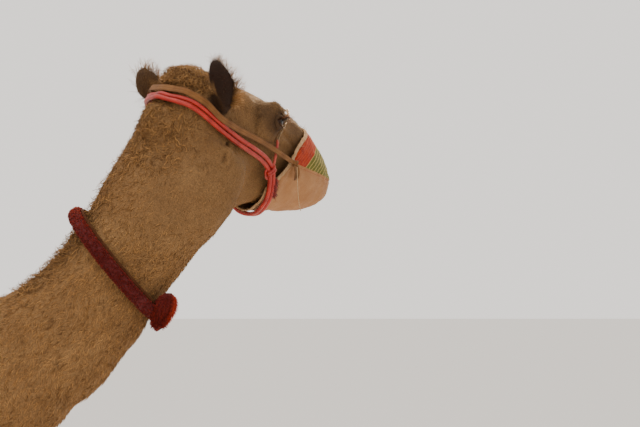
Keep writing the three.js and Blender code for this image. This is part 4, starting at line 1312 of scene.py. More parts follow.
def rings_of(node, reach):
    """The rings of corners along a swept solid. Corners nearer than reach share a ring."""
    corners, edges = corners_and_edges(node)
    a, b = edges.T
    short = np.linalg.norm(corners[a] - corners[b], axis=1) < reach
    ring = np.arange(len(corners))
    for _ in range(16):
        np.minimum.at(ring, a[short], ring[b[short]])
        np.minimum.at(ring, b[short], ring[a[short]])
    ring = np.unique(ring, return_inverse=True)[1]
    beside = [set() for _ in range(ring.max() + 1)]
    for i, j in ring[edges]:
        if i != j:
            beside[i].add(j)
            beside[j].add(i)
    order = [min(range(len(beside)), key=lambda i: len(beside[i]))]
    while len(order) < len(beside):
        following = [i for i in beside[order[-1]] if i not in order]
        if not following:
            break
        order.append(following[0])
    return [corners[ring == i] for i in order]


def middles_of(rings):
    return np.array([(ring.max(axis=0) + ring.min(axis=0)) / 2 for ring in rings])


def flowing(line, steps, closed=False):
    """A smooth line through the given points, with steps parts between each two of them."""
    line = np.asarray(line)
    n = len(line)
    base = np.arange(n if closed else n - 1)
    p = [line[(base + k) % n if closed else np.clip(base + k, 0, n - 1)] for k in (-1, 0, 1, 2)]
    parts = []
    for t in np.arange(steps) / steps:
        parts.append(0.5 * (2 * p[1] + (p[2] - p[0]) * t + (2 * p[0] - 5 * p[1] + 4 * p[2] - p[3]) * t**2
                            + (3 * p[1] - p[0] - 3 * p[2] + p[3]) * t**3))
    out = np.stack(parts, axis=1).reshape(-1, line.shape[1])
    return out if closed else np.vstack([out, line[-1:]])


def evenly(line, spacing):
    """Points a set distance apart along an open line."""
    steps = np.linalg.norm(np.diff(line, axis=0), axis=1)
    along = np.concatenate([[0], np.cumsum(steps)])
    marks = np.linspace(0, along[-1], max(int(round(along[-1] / spacing)), 1) + 1)
    return np.stack([np.interp(marks, along, line[:, k]) for k in range(3)], axis=1)


# %% A tube along a route
def frame_along(route, out, closed=False):
    """Unit vectors ahead, across and out at each point of a route."""
    if closed:
        ahead = unit(np.roll(route, -1, axis=0) - np.roll(route, 1, axis=0))
    else:
        ahead = unit(np.gradient(route, axis=0))
    out = unit(out - ahead * (out * ahead).sum(axis=1, keepdims=True))
    return ahead, np.cross(ahead, out), out


def swept(name, route, out, section, sides, closed=False):
    """section(turn, share) gives a corner's offset across and out, for its turn round the
    section and its share of the way along the route."""
    route = np.asarray(route)
    n = len(route)
    _, across, out = frame_along(route, np.asarray(out), closed)
    rows = n if closed else n + 1
    deselect()
    bpy.ops.mesh.primitive_grid_add(x_subdivisions=sides, y_subdivisions=rows, size=2)
    piece = bpy.context.active_object
    piece.name = name
    grid = (vertices_of(piece.data)[:, :2] + 1) / 2
    row = np.rint(grid[:, 1] * rows).astype(int)
    i = row % n if closed else np.clip(row - 1, 0, n - 1)
    full = np.ones(len(row)) if closed else ((row > 0) & (row < rows)) * 1.0
    a, o = section(2 * math.pi * grid[:, 0], i / max(n - 1, 1))
    set_vertices(piece.data, route[i] + across[i] * (a * full)[:, None] + out[i] * (o * full)[:, None])
    return closed_up(piece)


def round_section(radius, swell=0.0, seed=0):
    draw = np.random.default_rng(seed)
    phase = draw.uniform(0, 6, 3)

    def section(turn, share):
        r = radius * (1 + swell * (np.sin(37 * share + phase[0]) + np.sin(91 * share + phase[1])) / 2)
        return r * np.cos(turn), r * np.sin(turn)
    return section


def flat_section(width, thick, corner=0.35):
    """A band with rounded edges. width may change along the way."""
    def section(turn, share):
        w = width(share) if callable(width) else width
        c, s = np.cos(turn), np.sin(turn)
        return w / 2 * np.sign(c) * np.abs(c) ** corner, thick / 2 * np.sign(s) * np.abs(s) ** corner
    return section


# %% Many strands as one mesh
def strands(name, routes, widths, patch, seed, sides=3, **values):
    """routes: strands x points x 3; widths: radius at each of those points; patch: UV of roots."""
    draw = np.random.default_rng(seed)
    n, k, _ = routes.shape
    ahead = unit(np.gradient(routes, axis=1))
    odd = unit(draw.normal(size=(n, 3)))[:, None, :]
    side = unit(odd - ahead * (odd * ahead).sum(axis=2, keepdims=True))
    up = np.cross(ahead, side)
    turn = 2 * math.pi * np.arange(sides) / sides
    ring = (side[:, :, None] * np.cos(turn)[:, None] + up[:, :, None] * np.sin(turn)[:, None])
    points = (routes[:, :, None] + ring * widths[:, :, None, None]).reshape(-1, 3)
    wall = []
    for level in range(k - 1):
        for j in range(sides):
            a, b = level * sides + j, level * sides + (j + 1) % sides
            wall += [(a, b, b + sides), (a, b + sides, a + sides)]
    last = (k - 1) * sides
    wall += [(last, last + j, last + j + 1) for j in range(1, sides - 1)]
    wall += [(0, j + 1, j) for j in range(1, sides - 1)]
    triangles = (np.arange(n)[:, None, None] * k * sides + np.array(wall)[None]).reshape(-1, 3)
    m = k * sides
    spot = np.stack([np.tile(np.cos(turn), k), np.repeat(np.linspace(-1, 1, k), sides)], axis=1)
    uv = (patch[:, None, :] + spot[None] * UV_PATCH / 2).reshape(-1, 2)
    tuft = np.repeat(np.clip(draw.normal(0.5, 0.24, n), 0, 1), m)
    tip = np.tile(np.repeat(np.linspace(0, 1, k), sides), n)
    spread = {key: np.repeat(value, m) for key, value in values.items()}
    return mesh_of(name, points, triangles, "OFBake", uv, tuft=tuft, tip=tip, **spread)

# %% [markdown]
# ## Eyes and lashes
#
# A camel's eye is large, dark brown and wet, with a pupil that lies level. It is a sphere whose
# pole looks out along the gaze, with the cornea pushed out a little, and its colour follows the
# angle from that pole. Two rows of long curved lashes keep the sand out: each lash is a tapered
# strand that leaves the rim of the lid, droops over the eye and turns up at its tip.

# %% Eyeballs
CORNEA = math.radians(40)
CORNEA_RISE = 0.0014
eye_finish, t, shader = material("wet eye")
from_gaze = t.value("from_gaze")
PUPIL_LONG, PUPIL_TALL = 0.0072, 0.0040
pupil_away = t.math("ADD", t.math("POWER", t.math("DIVIDE", t.value("ahead"), PUPIL_LONG), 2.0),
                    t.math("POWER", t.math("DIVIDE", t.value("up"), PUPIL_TALL), 2.0))
pupil = t.math("MULTIPLY", t.ramp(pupil_away, [(0.70, 1.0), (1.0, 0.0)]), t.math("LESS_THAN", from_gaze, 0.9))
rays = t.noise(1.0, 2, 0.5, t.add("ShaderNodeMapping", inputs={
    "Vector": t.place(), "Scale": (260.0, 260.0, 900.0)}).outputs[0])
iris = t.mix(rays, (0.007, 0.0022, 0.0008, 1), (0.034, 0.011, 0.003, 1))
iris = t.mix(t.ramp(from_gaze, [(0.62, 0.0), (0.72, 1.0)]), iris, (0.006, 0.003, 0.002, 1))
white = t.mix(t.ramp(from_gaze, [(0.74, 0.0), (0.84, 1.0)]), iris, (0.13, 0.075, 0.050, 1))
t.paint(shader, t.mix(pupil, white, (0.002, 0.0015, 0.0015, 1)))
settle(shader, Roughness=0.30, Specular_IOR_Level=0.0, Coat_Weight=1.0, Coat_IOR=1.27, Coat_Roughness=0.03)

for side, hand in HANDS:
    centre, gaze, ahead, up = eye_axes(side)
    deselect()
    bpy.ops.mesh.primitive_uv_sphere_add(segments=48, ring_count=32, radius=EYE_R - 0.0002)
    eyeball = bpy.context.active_object
    eyeball.name = "eyeball_" + hand
    points = vertices_of(eyeball.data)
    angle = np.arccos(np.clip(points[:, 2] / (EYE_R - 0.0002), -1, 1))
    points *= (1 + CORNEA_RISE / EYE_R * (1 - smoothstep(0.55, 1.0, angle / CORNEA)))[:, None]
    sideways = np.cross(np.array(gaze), np.array(ahead))
    turn = np.stack([np.array(ahead), sideways, np.array(gaze)], axis=1)
    set_vertices(eyeball.data, transformed(points @ turn.T + np.array(centre), HEAD))
    keep_values(eyeball.data, from_gaze=angle / math.radians(60), ahead=points[:, 0], up=points[:, 1])
    closed_up(eyeball)
    complete(eyeball, eye_finish, "eye", "eye_" + hand)

# %% Lashes
LASH_LEVELS = 7
lash_finish, t, shader = material("lash")
# The lashes run from near black at the root to orange-brown at the tip: their own brown, with painted warm
# light on the tips.
t.paint(shader, t.ramp(t.value("tip"), [
    (0.0, (0.012, 0.006, 0.003, 1)), (0.5, (0.045, 0.017, 0.006, 1)), (1.0, (0.24, 0.085, 0.022, 1))]))
settle(shader, Roughness=0.45)


def lashes(side, number, turns, length, droop, upturn, seed):
    """Routes of one row of lashes on the rim between two turns round the opening."""
    draw = np.random.default_rng(seed)
    gaze, ahead, up = (np.array(axis) for axis in eye_axes(side)[1:])
    routes = []
    for share in (np.arange(number) + draw.uniform(-0.4, 0.4, number)) / (number - 1):
        share = min(max(share, 0.0), 1.0)
        turn = math.radians(turns[0] + (turns[1] - turns[0]) * share)
        root = np.array(on_lid(side, turn, opening(turn) * 1.05, EYE_R + 0.0016))
        spread = ahead * math.cos(turn) + up * math.sin(turn)
        long = length * draw.uniform(0.62, 1.15) * (0.72 + 0.28 * math.sin(math.pi * share))
        start = unit(gaze * 0.75 + spread * 0.42 + draw.normal(0, 0.08, 3))
        s = np.linspace(0, 1, LASH_LEVELS)[:, None]
        routes.append(root + long * (start * s + up * (droop * s**1.6 + upturn * s**3.2)
                                     + spread * np.array([1, 1, 0.2]) * 0.12 * s**2))
    return transformed(np.array(routes), HEAD)


for side, hand in HANDS:
    rows = [
        lashes(side, 64, (28, 158), 0.030, -0.62, 0.36, 301 + side),
        lashes(side, 52, (34, 152), 0.024, -0.34, 0.26, 311 + side),
        lashes(side, 40, (-150, -32), 0.012, -0.30, 0.10, 321 + side),
    ]
    routes = np.concatenate(rows)
    taper = np.array([1.0, 0.95, 0.85, 0.72, 0.55, 0.36, 0.12])
    widths = np.tile(0.00036 * taper, (len(routes), 1))
    piece = strands("lashes_" + hand, routes, widths, unwrapped(routes[:, 0]), 331)
    complete(piece, lash_finish, "dark_coat")

# %% [markdown]
# ## Toenails
#
# A camel's foot is a soft pad, with a blunt nail set into the front of each of its two toes.
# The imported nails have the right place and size, so each is copied, merged and subdivided
# until it is smooth, then flattened and sunk into its toe. Growth rings run round them.

# %% Toenails
horn_finish, t, shader = material("nail horn")
place = t.place()
rings = t.add("ShaderNodeTexWave", bands_direction="Z", inputs={
    "Vector": place, "Scale": 62.0, "Distortion": 3.0, "Detail": 2.0}).outputs["Fac"]
tone = t.noise(90.0, 3, 0.6, place)
t.paint(shader, t.mix(tone, (0.016, 0.010, 0.006, 1), (0.060, 0.040, 0.025, 1)))
settle(shader, Roughness=0.58)
t.bump(shader, rings, 0.0006, 0.7)

NAIL_SHAPE = (1.26, 1.16, 0.80)          # longer and broader than the solid, and flatter
NAIL_SUNK = (-0.0075, 0.0, -0.0035)

NAIL_NODES = sorted(node for node in NODES if node.startswith("nail_"))
for node in NAIL_NODES:
    nail = closed_up(linked("toe" + node, NODES[node].data.copy()))
    rounding = nail.modifiers.new("rounding", "SUBSURF")
    rounding.levels = 2
    rounding.render_levels = 2
    apply_modifiers(nail)
    centre = vertices_of(nail.data).mean(axis=0)
    set_vertices(nail.data, (vertices_of(nail.data) - centre) * NAIL_SHAPE + centre + NAIL_SUNK)
    complete(nail, horn_finish, "horn", node)

# %% [markdown]
# ## The rope halter
#
# One long rope of soft plaited cord is doubled round the head, and two short cords hold a chain
# across the nose. The rope is vivid, smooth and a little shiny, as braided nylon is, so the
# plait is relief and painted shade in its material and not a shape. On each cheek a turned
# binding draws the two strands together, with a small loop beside it and the frayed ends of the
# rope below it.

# %% A plaited sheath, as a node group
plait, takes, gives = new_group(
    "plait", {"Round": "NodeSocketFloat", "Along": "NodeSocketFloat"},
    {"Height": "NodeSocketFloat", "Tone": "NodeSocketFloat"})
u, v = plait.round_and_along()
u = plait.math("MULTIPLY", u, takes["Round"])
v = plait.math("MULTIPLY", v, takes["Along"])
one_way = plait.hills(plait.math("ADD", u, v))
other_way = plait.hills(plait.math("SUBTRACT", u, v))
plait.give(gives["Height"], plait.math("MAXIMUM", one_way, other_way))
place = plait.place()
plait.give(gives["Tone"], plait.noise(55.0, 4, 0.6, place))


def rope_finish(name, round_count, along_count, dark, light, roughness=0.42):
    finish, t, shader = material(name)
    sheath = use_group(t, plait, Round=float(round_count), Along=float(along_count))
    colour = t.mix(t.ramp(sheath["Tone"], [(0.30, 0.0), (0.70, 1.0)]), dark, light)
    # Painted shade: the rope is darker in the low places of its plait.
    shade = t.ramp(sheath["Height"], [(0.45, 0.55), (0.95, 1.0)])
    t.paint(shader, t.mix(1.0, colour, shade, "MULTIPLY"))
    settle(shader, Roughness=roughness, Sheen_Weight=0.05, Specular_IOR_Level=0.35)
    t.bump(shader, sheath["Height"], 0.0006, 0.6)
    return finish


ROPE_DARK, ROPE_LIGHT = (0.21, 0.0055, 0.0035, 1), (0.43, 0.020, 0.009, 1)
PLAIT = 0.0062                         # length of one plait along the rope

# %% The two strands
ROPE_R = 0.0052
HEAD_MIDDLE = np.array(HEAD @ Vector((0.14, 0.0, -0.13)))
rope_routes = {}
for strand in ("front", "back"):
    rings = rings_of("halter_rope_" + strand, 0.0075)
    route = flowing(middles_of(rings), 5, closed=True)
    rope_routes[strand] = route
    length = np.linalg.norm(route - np.roll(route, 1, axis=0), axis=1).sum()
    rope = swept("rope_" + strand, route, route - HEAD_MIDDLE, round_section(ROPE_R, 0.03, len(strand)),
                 14, closed=True)
    complete(rope, rope_finish("pink rope " + strand, 6, length / PLAIT, ROPE_DARK, ROPE_LIGHT), "pink_rope",
             "halter_rope_" + strand)
    print("rope", strand, "is", round(length, 3), "m round")

# %% The bindings, with a loop and frayed ends
WRAP_R = 0.0030
WRAP_HALF = (0.0128, 0.0068)           # half sizes of one turn round the two strands
wrap_finish = rope_finish("rope binding", 4, 18, ROPE_DARK, ROPE_LIGHT)
fray_finish, t, shader = material("frayed rope")
t.paint(shader, t.mix(t.value("tuft"), (0.055, 0.0015, 0.0015, 1), (0.24, 0.012, 0.009, 1)))
settle(shader, Roughness=0.6)

for side, hand in HANDS:
    knot = np.array(middle("halter_whipping_" + hand))
    at = {s: np.argmin(np.linalg.norm(rope_routes[s] - knot, axis=1)) for s in rope_routes}
    front, back = (rope_routes[s][at[s]] for s in ("front", "back"))
    centre = (front + back) / 2
    down = unit(np.roll(rope_routes["front"], -3, axis=0) - np.roll(rope_routes["front"], 3, axis=0))
    down = down[at["front"]]
    down = down if down[2] < 0 else -down
    across = unit(front - back)
    out = unit(np.cross(down, across))
    out = out if out @ (centre - HEAD_MIDDLE) > 0 else -out
    turn = np.linspace(0, 2 * math.pi, 40, endpoint=False)[:, None]
    pieces = []
    for step, tilt in ((-0.0036, 0.10), (0.0034, -0.06)):
        loop = (centre + down * step + across * np.cos(turn) * WRAP_HALF[0]
                + out * (np.sin(turn) * WRAP_HALF[1] + 0.0006) + down * np.cos(turn) * WRAP_HALF[0] * tilt)
        pieces.append(swept("wrap", loop, loop - centre, round_section(WRAP_R), 10, closed=True))
    ahead_loop = centre + across * 0.0170 + out * 0.0006 - down * 0.001
    loop = (ahead_loop + across * np.cos(turn) * 0.0062 + down * np.sin(turn) * 0.0125
            + out * np.cos(turn + 0.6) * 0.0030)
    pieces.append(swept("side loop", loop, loop - ahead_loop, round_section(0.0023), 8, closed=True))
    binding = joined(pieces, "rope_binding_" + hand)
    complete(binding, wrap_finish, "pink_rope", "halter_whipping_" + hand)

    draw = np.random.default_rng(401 + side)
    n = 150
    below = draw.uniform(0.034, 0.072, n)
    strand = rope_routes["back"]
    spacing = np.linalg.norm(strand[at["back"]] - strand[at["back"] - 1])
    downwards = 1 if strand[(at["back"] + 3) % len(strand)][2] < strand[at["back"]][2] else -1
    i = (at["back"] + downwards * np.rint(below / spacing).astype(int)) % len(strand)
    root = strand[i] + draw.normal(0, 0.0022, (n, 3)) - across * 0.0028 + out * 0.0018
    way = unit(-across * 0.55 + down * 1.0 + out * 0.40 + draw.normal(0, 0.32, (n, 3)))
    s = np.linspace(0, 1, 5)[:, None]
    long = draw.uniform(0.005, 0.011, n)[:, None, None]
    routes = root[:, None] + (way[:, None] * s + down * 0.5 * s**2) * long
    widths = np.tile([0.0010, 0.0010, 0.0009, 0.0007, 0.0002], (n, 1))
    fray = strands("frayed_rope_" + hand, routes, widths, unwrapped(root), 405 + side)
    complete(fray, fray_finish, "pink_rope")

# %% The noseband cords
cord_finish = rope_finish("pink cord", 5, 16, (0.27, 0.026, 0.018, 1), (0.52, 0.085, 0.055, 1), 0.5)
CORD_R = 0.0034
cord_tops = {}
for hand in ("right", "left"):
    line = middles_of(rings_of("noseband_cord_" + hand, 0.006))
    if line[0][2] < line[-1][2]:
        line = line[::-1]
    knot = np.array(middle("halter_whipping_" + hand))
    end = line[-1] + (knot - line[-1]) * 0.45
    line = np.vstack([line, end])
    route = flowing(line, 5)
    cord_tops[hand] = line[0]
    twist = round_section(CORD_R, 0.10, 7)
    cord = swept("noseband_cord_braid_" + hand, route, route - HEAD_MIDDLE, twist, 12)
    complete(cord, cord_finish, "pink_rope", "noseband_cord_" + hand)

# %% [markdown]
# ## The noseband chain
#
# A steel chain lies over the nose. One link is a torus, stretched to an oval. Copies of it
# follow the line at the length of a link's own hole, each turned a quarter from the last.

# %% One link, and the chain
LINK_WIRE, LINK_HALF_WIDTH, LINK_STRETCH = 0.00105, 0.0030, 0.0023
bpy.ops.mesh.primitive_torus_add(major_segments=18, minor_segments=8, major_radius=LINK_HALF_WIDTH,
                                 minor_radius=LINK_WIRE)
link = bpy.context.active_object
link_points = vertices_of(link.data)
link_points[:, 0] += np.sign(link_points[:, 0]) * LINK_STRETCH
link.data.calc_loop_triangles()
link_faces = np.array([triangle.vertices for triangle in link.data.loop_triangles])
bpy.data.objects.remove(link)

chain_line = flowing(middles_of(rings_of("noseband_chain", 0.007)), 6)
if np.linalg.norm(chain_line[0] - cord_tops["right"]) > np.linalg.norm(chain_line[-1] - cord_tops["right"]):
    chain_line = chain_line[::-1]
chain_line = np.vstack([cord_tops["right"], chain_line, cord_tops["left"]])
PITCH = 2 * (LINK_HALF_WIDTH + LINK_STRETCH - LINK_WIRE)
links_at = evenly(chain_line, PITCH)
ahead, across, out = frame_along(links_at, links_at - HEAD_MIDDLE)
roll = np.where(np.arange(len(links_at)) % 2, math.radians(52), math.radians(-38))[:, None]
flat_way = across * np.cos(roll) + out * np.sin(roll)
thick_way = out * np.cos(roll) - across * np.sin(roll)
points = (links_at[:, None] + link_points[None, :, :1] * ahead[:, None]
          + link_points[None, :, 1:2] * flat_way[:, None] + link_points[None, :, 2:] * thick_way[:, None])
triangles = np.arange(len(links_at))[:, None, None] * len(link_points) + link_faces[None]
chain = mesh_of("chain_links", points.reshape(-1, 3), triangles.reshape(-1, 3), "", None)

steel_finish, t, shader = material("chain steel")
tarnish = t.noise(160.0, 3, 0.6, t.place())
t.paint(shader, t.mix(tarnish, (0.11, 0.070, 0.036, 1), (0.36, 0.25, 0.15, 1)))
settle(shader, Metallic=1.0)
t.give(shader.inputs["Roughness"], t.ramp(tarnish, [(0.3, 0.28), (0.8, 0.58)]))
complete(chain, steel_finish, "steel", "noseband_chain")
print("chain of", len(links_at), "links")

# %% [markdown]
# ## The muzzle bag
#
# The bag is sewn from plain canvas below and a woven band above, with a tape bound over its
# rim. A free cloth simulation would lose its fit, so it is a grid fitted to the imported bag: rows
# run from the rim to the tip, and each corner is found by a ray from outside. The facets are
# then smoothed away, and the cloth's folds, puckers and seam are pushed into the surface before
# it gets its thickness.

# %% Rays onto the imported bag
MOUTH_X, MOUTH_Z, MOUTH_LEAN = 0.405, -0.050, 0.90       # the rim leans back 0.9 for 1 down
RIM_SAG = 0.014                                          # how far the strap has pulled it back
FAN_X = 0.462                                            # the rows fan round from here on
RIM_STEP, RIM_JUMP = 0.001, 0.004                        # the search for the rim: a step, a gap
LEAST_REACH = 0.02
BAG_TURNS, BAG_ROWS, FAN_ROWS = 168, 92, 40

bag_mesh = NODES["muzzle_bag"].data
bag_mesh.calc_loop_triangles()
bag_tree = BVHTree.FromPolygons(
    [TO_HEAD @ vertex.co for vertex in bag_mesh.vertices],
    [tuple(triangle.vertices) for triangle in bag_mesh.loop_triangles])


def mouth_distance(x, z):
    """How far a place lies inside the bag from the plane of its mouth."""
    return ((x - MOUTH_X) - MOUTH_LEAN * (z - MOUTH_Z)) / math.hypot(1, MOUTH_LEAN)


def bag_axis(x):
    return Vector((x, 0.0, -0.143 - 0.033 * float(smoothstep(0.40, 0.55, np.array(x)))))


def reach_of_bag(start, way):
    """How far the cloth is from a start on the axis, or None where the mouth is open."""
    hit = bag_tree.ray_cast(start + way * 0.4, -way)[0]
    away = (hit - start).dot(way) if hit else 0
    return away if away > LEAST_REACH else None


def rim_of_bag(outwards):
    """The hindmost x at which there is cloth in one direction from the axis, and its z."""
    x, height = FAN_X, reach_of_bag(bag_axis(FAN_X), outwards)
    while True:
        behind = reach_of_bag(bag_axis(x - RIM_STEP), outwards)
        if behind is None or abs(behind - height) > RIM_JUMP:
            break
        if mouth_distance(x - RIM_STEP, bag_axis(x - RIM_STEP).z + behind * outwards.z) < 0:
            break
        x, height = x - RIM_STEP, behind
    return x, bag_axis(x).z + height * outwards.z


# %% The grid of the bag
reach = np.zeros((BAG_ROWS + 1, BAG_TURNS))
starts = np.zeros((BAG_ROWS + 1, BAG_TURNS, 3))
ways = np.zeros((BAG_ROWS + 1, BAG_TURNS, 3))
STRAIGHT_ROWS = BAG_ROWS - FAN_ROWS
for j in range(BAG_TURNS):
    turn = 2 * math.pi * j / BAG_TURNS
    outwards = Vector((0, math.sin(turn), math.cos(turn)))
    rim_x, rim_z = rim_of_bag(outwards)
    rim_x -= RIM_SAG * math.exp(-(((rim_z + 0.098) / 0.034) ** 2))
    for i in range(BAG_ROWS + 1):
        if i <= STRAIGHT_ROWS:
            x = rim_x + (FAN_X - rim_x) * i / STRAIGHT_ROWS
            way = outwards
        else:
            x = FAN_X
            fan = math.pi / 2 * (1 - (i - STRAIGHT_ROWS) / FAN_ROWS)
            way = outwards * math.sin(fan) + Vector((math.cos(fan), 0, 0))
        start = bag_axis(x)
        found = None
        for nudge in (0.0, 0.006, 0.012, 0.018, 0.024, 0.032):
            found = found or reach_of_bag(bag_axis(x + nudge), way)
        reach[i, j] = found or reach[i - 1, j]
        starts[i, j], ways[i, j] = start, way

for _ in range(10):                     # smooth the facets away, round and along
    reach = (np.roll(reach, 1, axis=1) + 2 * reach + np.roll(reach, -1, axis=1)) / 4
    padded = np.pad(reach, ((1, 1), (0, 0)), mode="edge")
    reach = (padded[:-2] + 2 * padded[1:-1] + padded[2:]) / 4
bag_grid = starts + ways * reach[:, :, None]
print("rim of the bag:", bag_grid[0].min(axis=0).round(3), bag_grid[0].max(axis=0).round(3))

# %% Folds, puckers and the seam
SEAM_HEIGHT, SEAM_FALL = -0.0967, 0.115            # the seam's height in the head's frame
TIE = np.array([0.334, 0.070, -0.138])             # the knot, on the left


def over_seam(points):
    return points[:, 2] - SEAM_HEIGHT + SEAM_FALL * points[:, 0]


flat = bag_grid.reshape(-1, 3)
mirrored = flat * [1, 0, 1] + np.abs(flat) * [0, 1, 0]
from_tie = mirrored - TIE
tie_away = np.linalg.norm(from_tie, axis=1)
tie_turn = np.arctan2(from_tie[:, 2], from_tie[:, 0])
above = over_seam(flat)
inside = mouth_distance(flat[:, 0], flat[:, 2])
push = 0.0021 * np.sin(9 * tie_turn + 0.8) * np.exp(-tie_away / 0.055) * smoothstep(0.004, 0.02, tie_away)
push += 0.0010 * np.sin(17 * tie_turn) * np.exp(-tie_away / 0.030) * smoothstep(0.006, 0.02, tie_away)
push += 0.0016 * waves(flat, 0.075, 41) * smoothstep(0.0, 0.03, -above)
push += 0.0007 * waves(flat, 0.030, 42) + 0.00035 * waves(flat, 0.013, 43)
push += 0.0011 * np.exp(-((above / 0.0016) ** 2))                        # the lap of the seam
push -= 0.0010 * np.exp(-(((above + 0.0040) / 0.0018) ** 2))
push += 0.0010 * np.exp(-((above / 0.010) ** 2)) * waves(flat, 0.020, 44)
push += 0.0006 * (above > 0) * np.exp(-(((inside - 0.0455) / 0.0018) ** 2))
push *= 1 - smoothstep(0.90, 1.0, np.repeat(np.arange(BAG_ROWS + 1) / BAG_ROWS, BAG_TURNS))
flat = flat + ways.reshape(-1, 3) * push[:, None]
bag_grid = flat.reshape(bag_grid.shape)

# %% The bag as a mesh
deselect()
bpy.ops.mesh.primitive_grid_add(x_subdivisions=BAG_TURNS, y_subdivisions=BAG_ROWS, size=2)
bag = bpy.context.active_object
bag.name = "canvas_muzzle_bag"
grid = (vertices_of(bag.data)[:, :2] + 1) / 2
row = np.rint(grid[:, 1] * BAG_ROWS).astype(int)
column = np.rint(grid[:, 0] * BAG_TURNS).astype(int) % BAG_TURNS
points = bag_grid[row, column]
set_vertices(bag.data, transformed(points, HEAD))
keep_values(bag.data, over_seam=over_seam(points), inside_rim=mouth_distance(points[:, 0], points[:, 2]))
closed_up(bag)
middle_face = bag.data.polygons[len(bag.data.polygons) // 3]
if middle_face.normal.dot(middle_face.center - HEAD @ bag_axis(0.42)) < 0:
    bag.data.flip_normals()
wall = bag.modifiers.new("cloth", "SOLIDIFY")
wall.thickness = 0.0016
wall.offset = -1
apply_modifiers(bag)

# %% Canvas weave, as a node group
weave, takes, gives = new_group(
    "weave", {"Warp": "NodeSocketFloat", "Weft": "NodeSocketFloat"},
    {"Height": "NodeSocketFloat", "Slub": "NodeSocketFloat"})
u, v = weave.round_and_along()
warp = weave.hills(weave.math("MULTIPLY", u, takes["Warp"]))
weft = weave.hills(weave.math("MULTIPLY", v, takes["Weft"]))
weave.give(gives["Height"], weave.math("MULTIPLY", warp, weft))
place = weave.place()
weave.give(gives["Slub"], weave.noise(120.0, 3, 0.6, place))

# %% The bag's cloth
CANVAS, CANVAS_WORN = (0.28, 0.122, 0.044, 1), (0.37, 0.188, 0.082, 1)
BAND_RED, BAND_ORANGE = (0.27, 0.0125, 0.0012, 1), (0.42, 0.044, 0.0025, 1)
BAND_GREEN, BAND_OLIVE = (0.086, 0.086, 0.006, 1), (0.175, 0.158, 0.022, 1)
BAND_CREAM = (0.36, 0.27, 0.072, 1)
GREEN_FROM = 0.0445                    # depth in the bag at which the green band follows the red

bag_finish, t, shader = material("muzzle bag cloth")
cloth = use_group(t, weave, Warp=330.0, Weft=190.0)
depth_in = t.value("inside_rim")
height_over = t.value("over_seam")
place = t.place()
worn = t.noise(16.0, 5, 0.62, place)
canvas = t.mix(t.ramp(worn, [(0.34, 0.0), (0.68, 1.0)]), CANVAS, CANVAS_WORN)
canvas = t.mix(t.ramp(cloth["Slub"], [(0.45, 0.0), (0.80, 0.30)]), canvas, (0.22, 0.11, 0.05, 1))


def step_at(value, edge, soft=0.0004):
    """0 below an edge and 1 above it."""
    return t.math("DIVIDE", t.math("SUBTRACT", value, edge - soft), 2 * soft, clamp=True)


def stripes(value, first, spacing, width):
    """1 on thin lines a spacing apart, from a first one on."""
    beat = t.math("FRACT", t.math("DIVIDE", t.math("SUBTRACT", value, first), spacing))
    return t.math("MULTIPLY", t.math("LESS_THAN", beat, width / spacing),
                  t.math("GREATER_THAN", value, first))


wobble = t.math("MULTIPLY", t.math("SUBTRACT", t.noise(85.0, 2, 0.5, place), 0.5), 0.0016)
yarn_at = t.math("ADD", depth_in, wobble)
red = t.mix(stripes(yarn_at, 0.0, 0.0072, 0.0020), BAND_RED, BAND_ORANGE)
red = t.mix(t.ramp(t.noise(240.0, 3, 0.7, place), [(0.40, 0.0), (0.70, 0.65)]), red, BAND_ORANGE)
red = t.mix(t.ramp(t.noise(60.0, 3, 0.6, place), [(0.50, 0.0), (0.66, 0.45)]), red, (0.10, 0.006, 0.003, 1))
green = t.mix(t.ramp(t.noise(200.0, 3, 0.7, place), [(0.35, 0.0), (0.75, 0.6)]), BAND_GREEN, BAND_OLIVE)
green = t.mix(stripes(yarn_at, GREEN_FROM, 0.0102, 0.0024), green, BAND_CREAM)
band = t.mix(step_at(yarn_at, GREEN_FROM), red, green)
upper = step_at(height_over, 0.0)
cloth_colour = t.mix(upper, canvas, band)
stitch_row = t.math("MULTIPLY", step_at(height_over, -0.0068),
                    t.math("SUBTRACT", 1.0, step_at(height_over, -0.0056)))
dashes = t.math("LESS_THAN", t.math("FRACT", t.math("DIVIDE", depth_in, 0.0046)), 0.6)
cloth_colour = t.mix(t.math("MULTIPLY", stitch_row, dashes), cloth_colour, (0.26, 0.035, 0.018, 1))
# Painted shade: the cloth is darker in the low places of its weave.
shade = t.ramp(cloth["Height"], [(0.0, 0.72), (0.7, 1.0)])
t.paint(shader, t.mix(1.0, cloth_colour, shade, "MULTIPLY"))
settle(shader, Roughness=0.88, Sheen_Weight=0.05, Specular_IOR_Level=0.25)
ribs = t.math("MULTIPLY", upper, t.math("ABSOLUTE", t.math("SINE", t.math(
    "MULTIPLY", yarn_at, math.pi / 0.0018))))
relief = t.math("ADD", t.math("MULTIPLY", cloth["Height"], 0.6), t.math("ADD", t.math(
    "MULTIPLY", ribs, 1.4), t.math("MULTIPLY", cloth["Slub"], 0.8)))
t.bump(shader, relief, 0.0005)
complete(bag, bag_finish, "canvas", "muzzle_bag")

# %% The tape bound over the rim
tape_finish, t, shader = material("rim tape")
cloth = use_group(t, weave, Warp=14.0, Weft=420.0)
tape = t.mix(t.ramp(cloth["Slub"], [(0.3, 0.0), (0.75, 1.0)]),
             (0.32, 0.175, 0.075, 1), (0.50, 0.33, 0.175, 1))
# Painted shade: the tape is darker in the low places of its weave.
t.paint(shader, t.mix(1.0, tape, t.ramp(cloth["Height"], [(0.0, 0.7), (0.7, 1.0)]), "MULTIPLY"))
settle(shader, Roughness=0.9)
t.bump(shader, cloth["Height"], 0.0006)

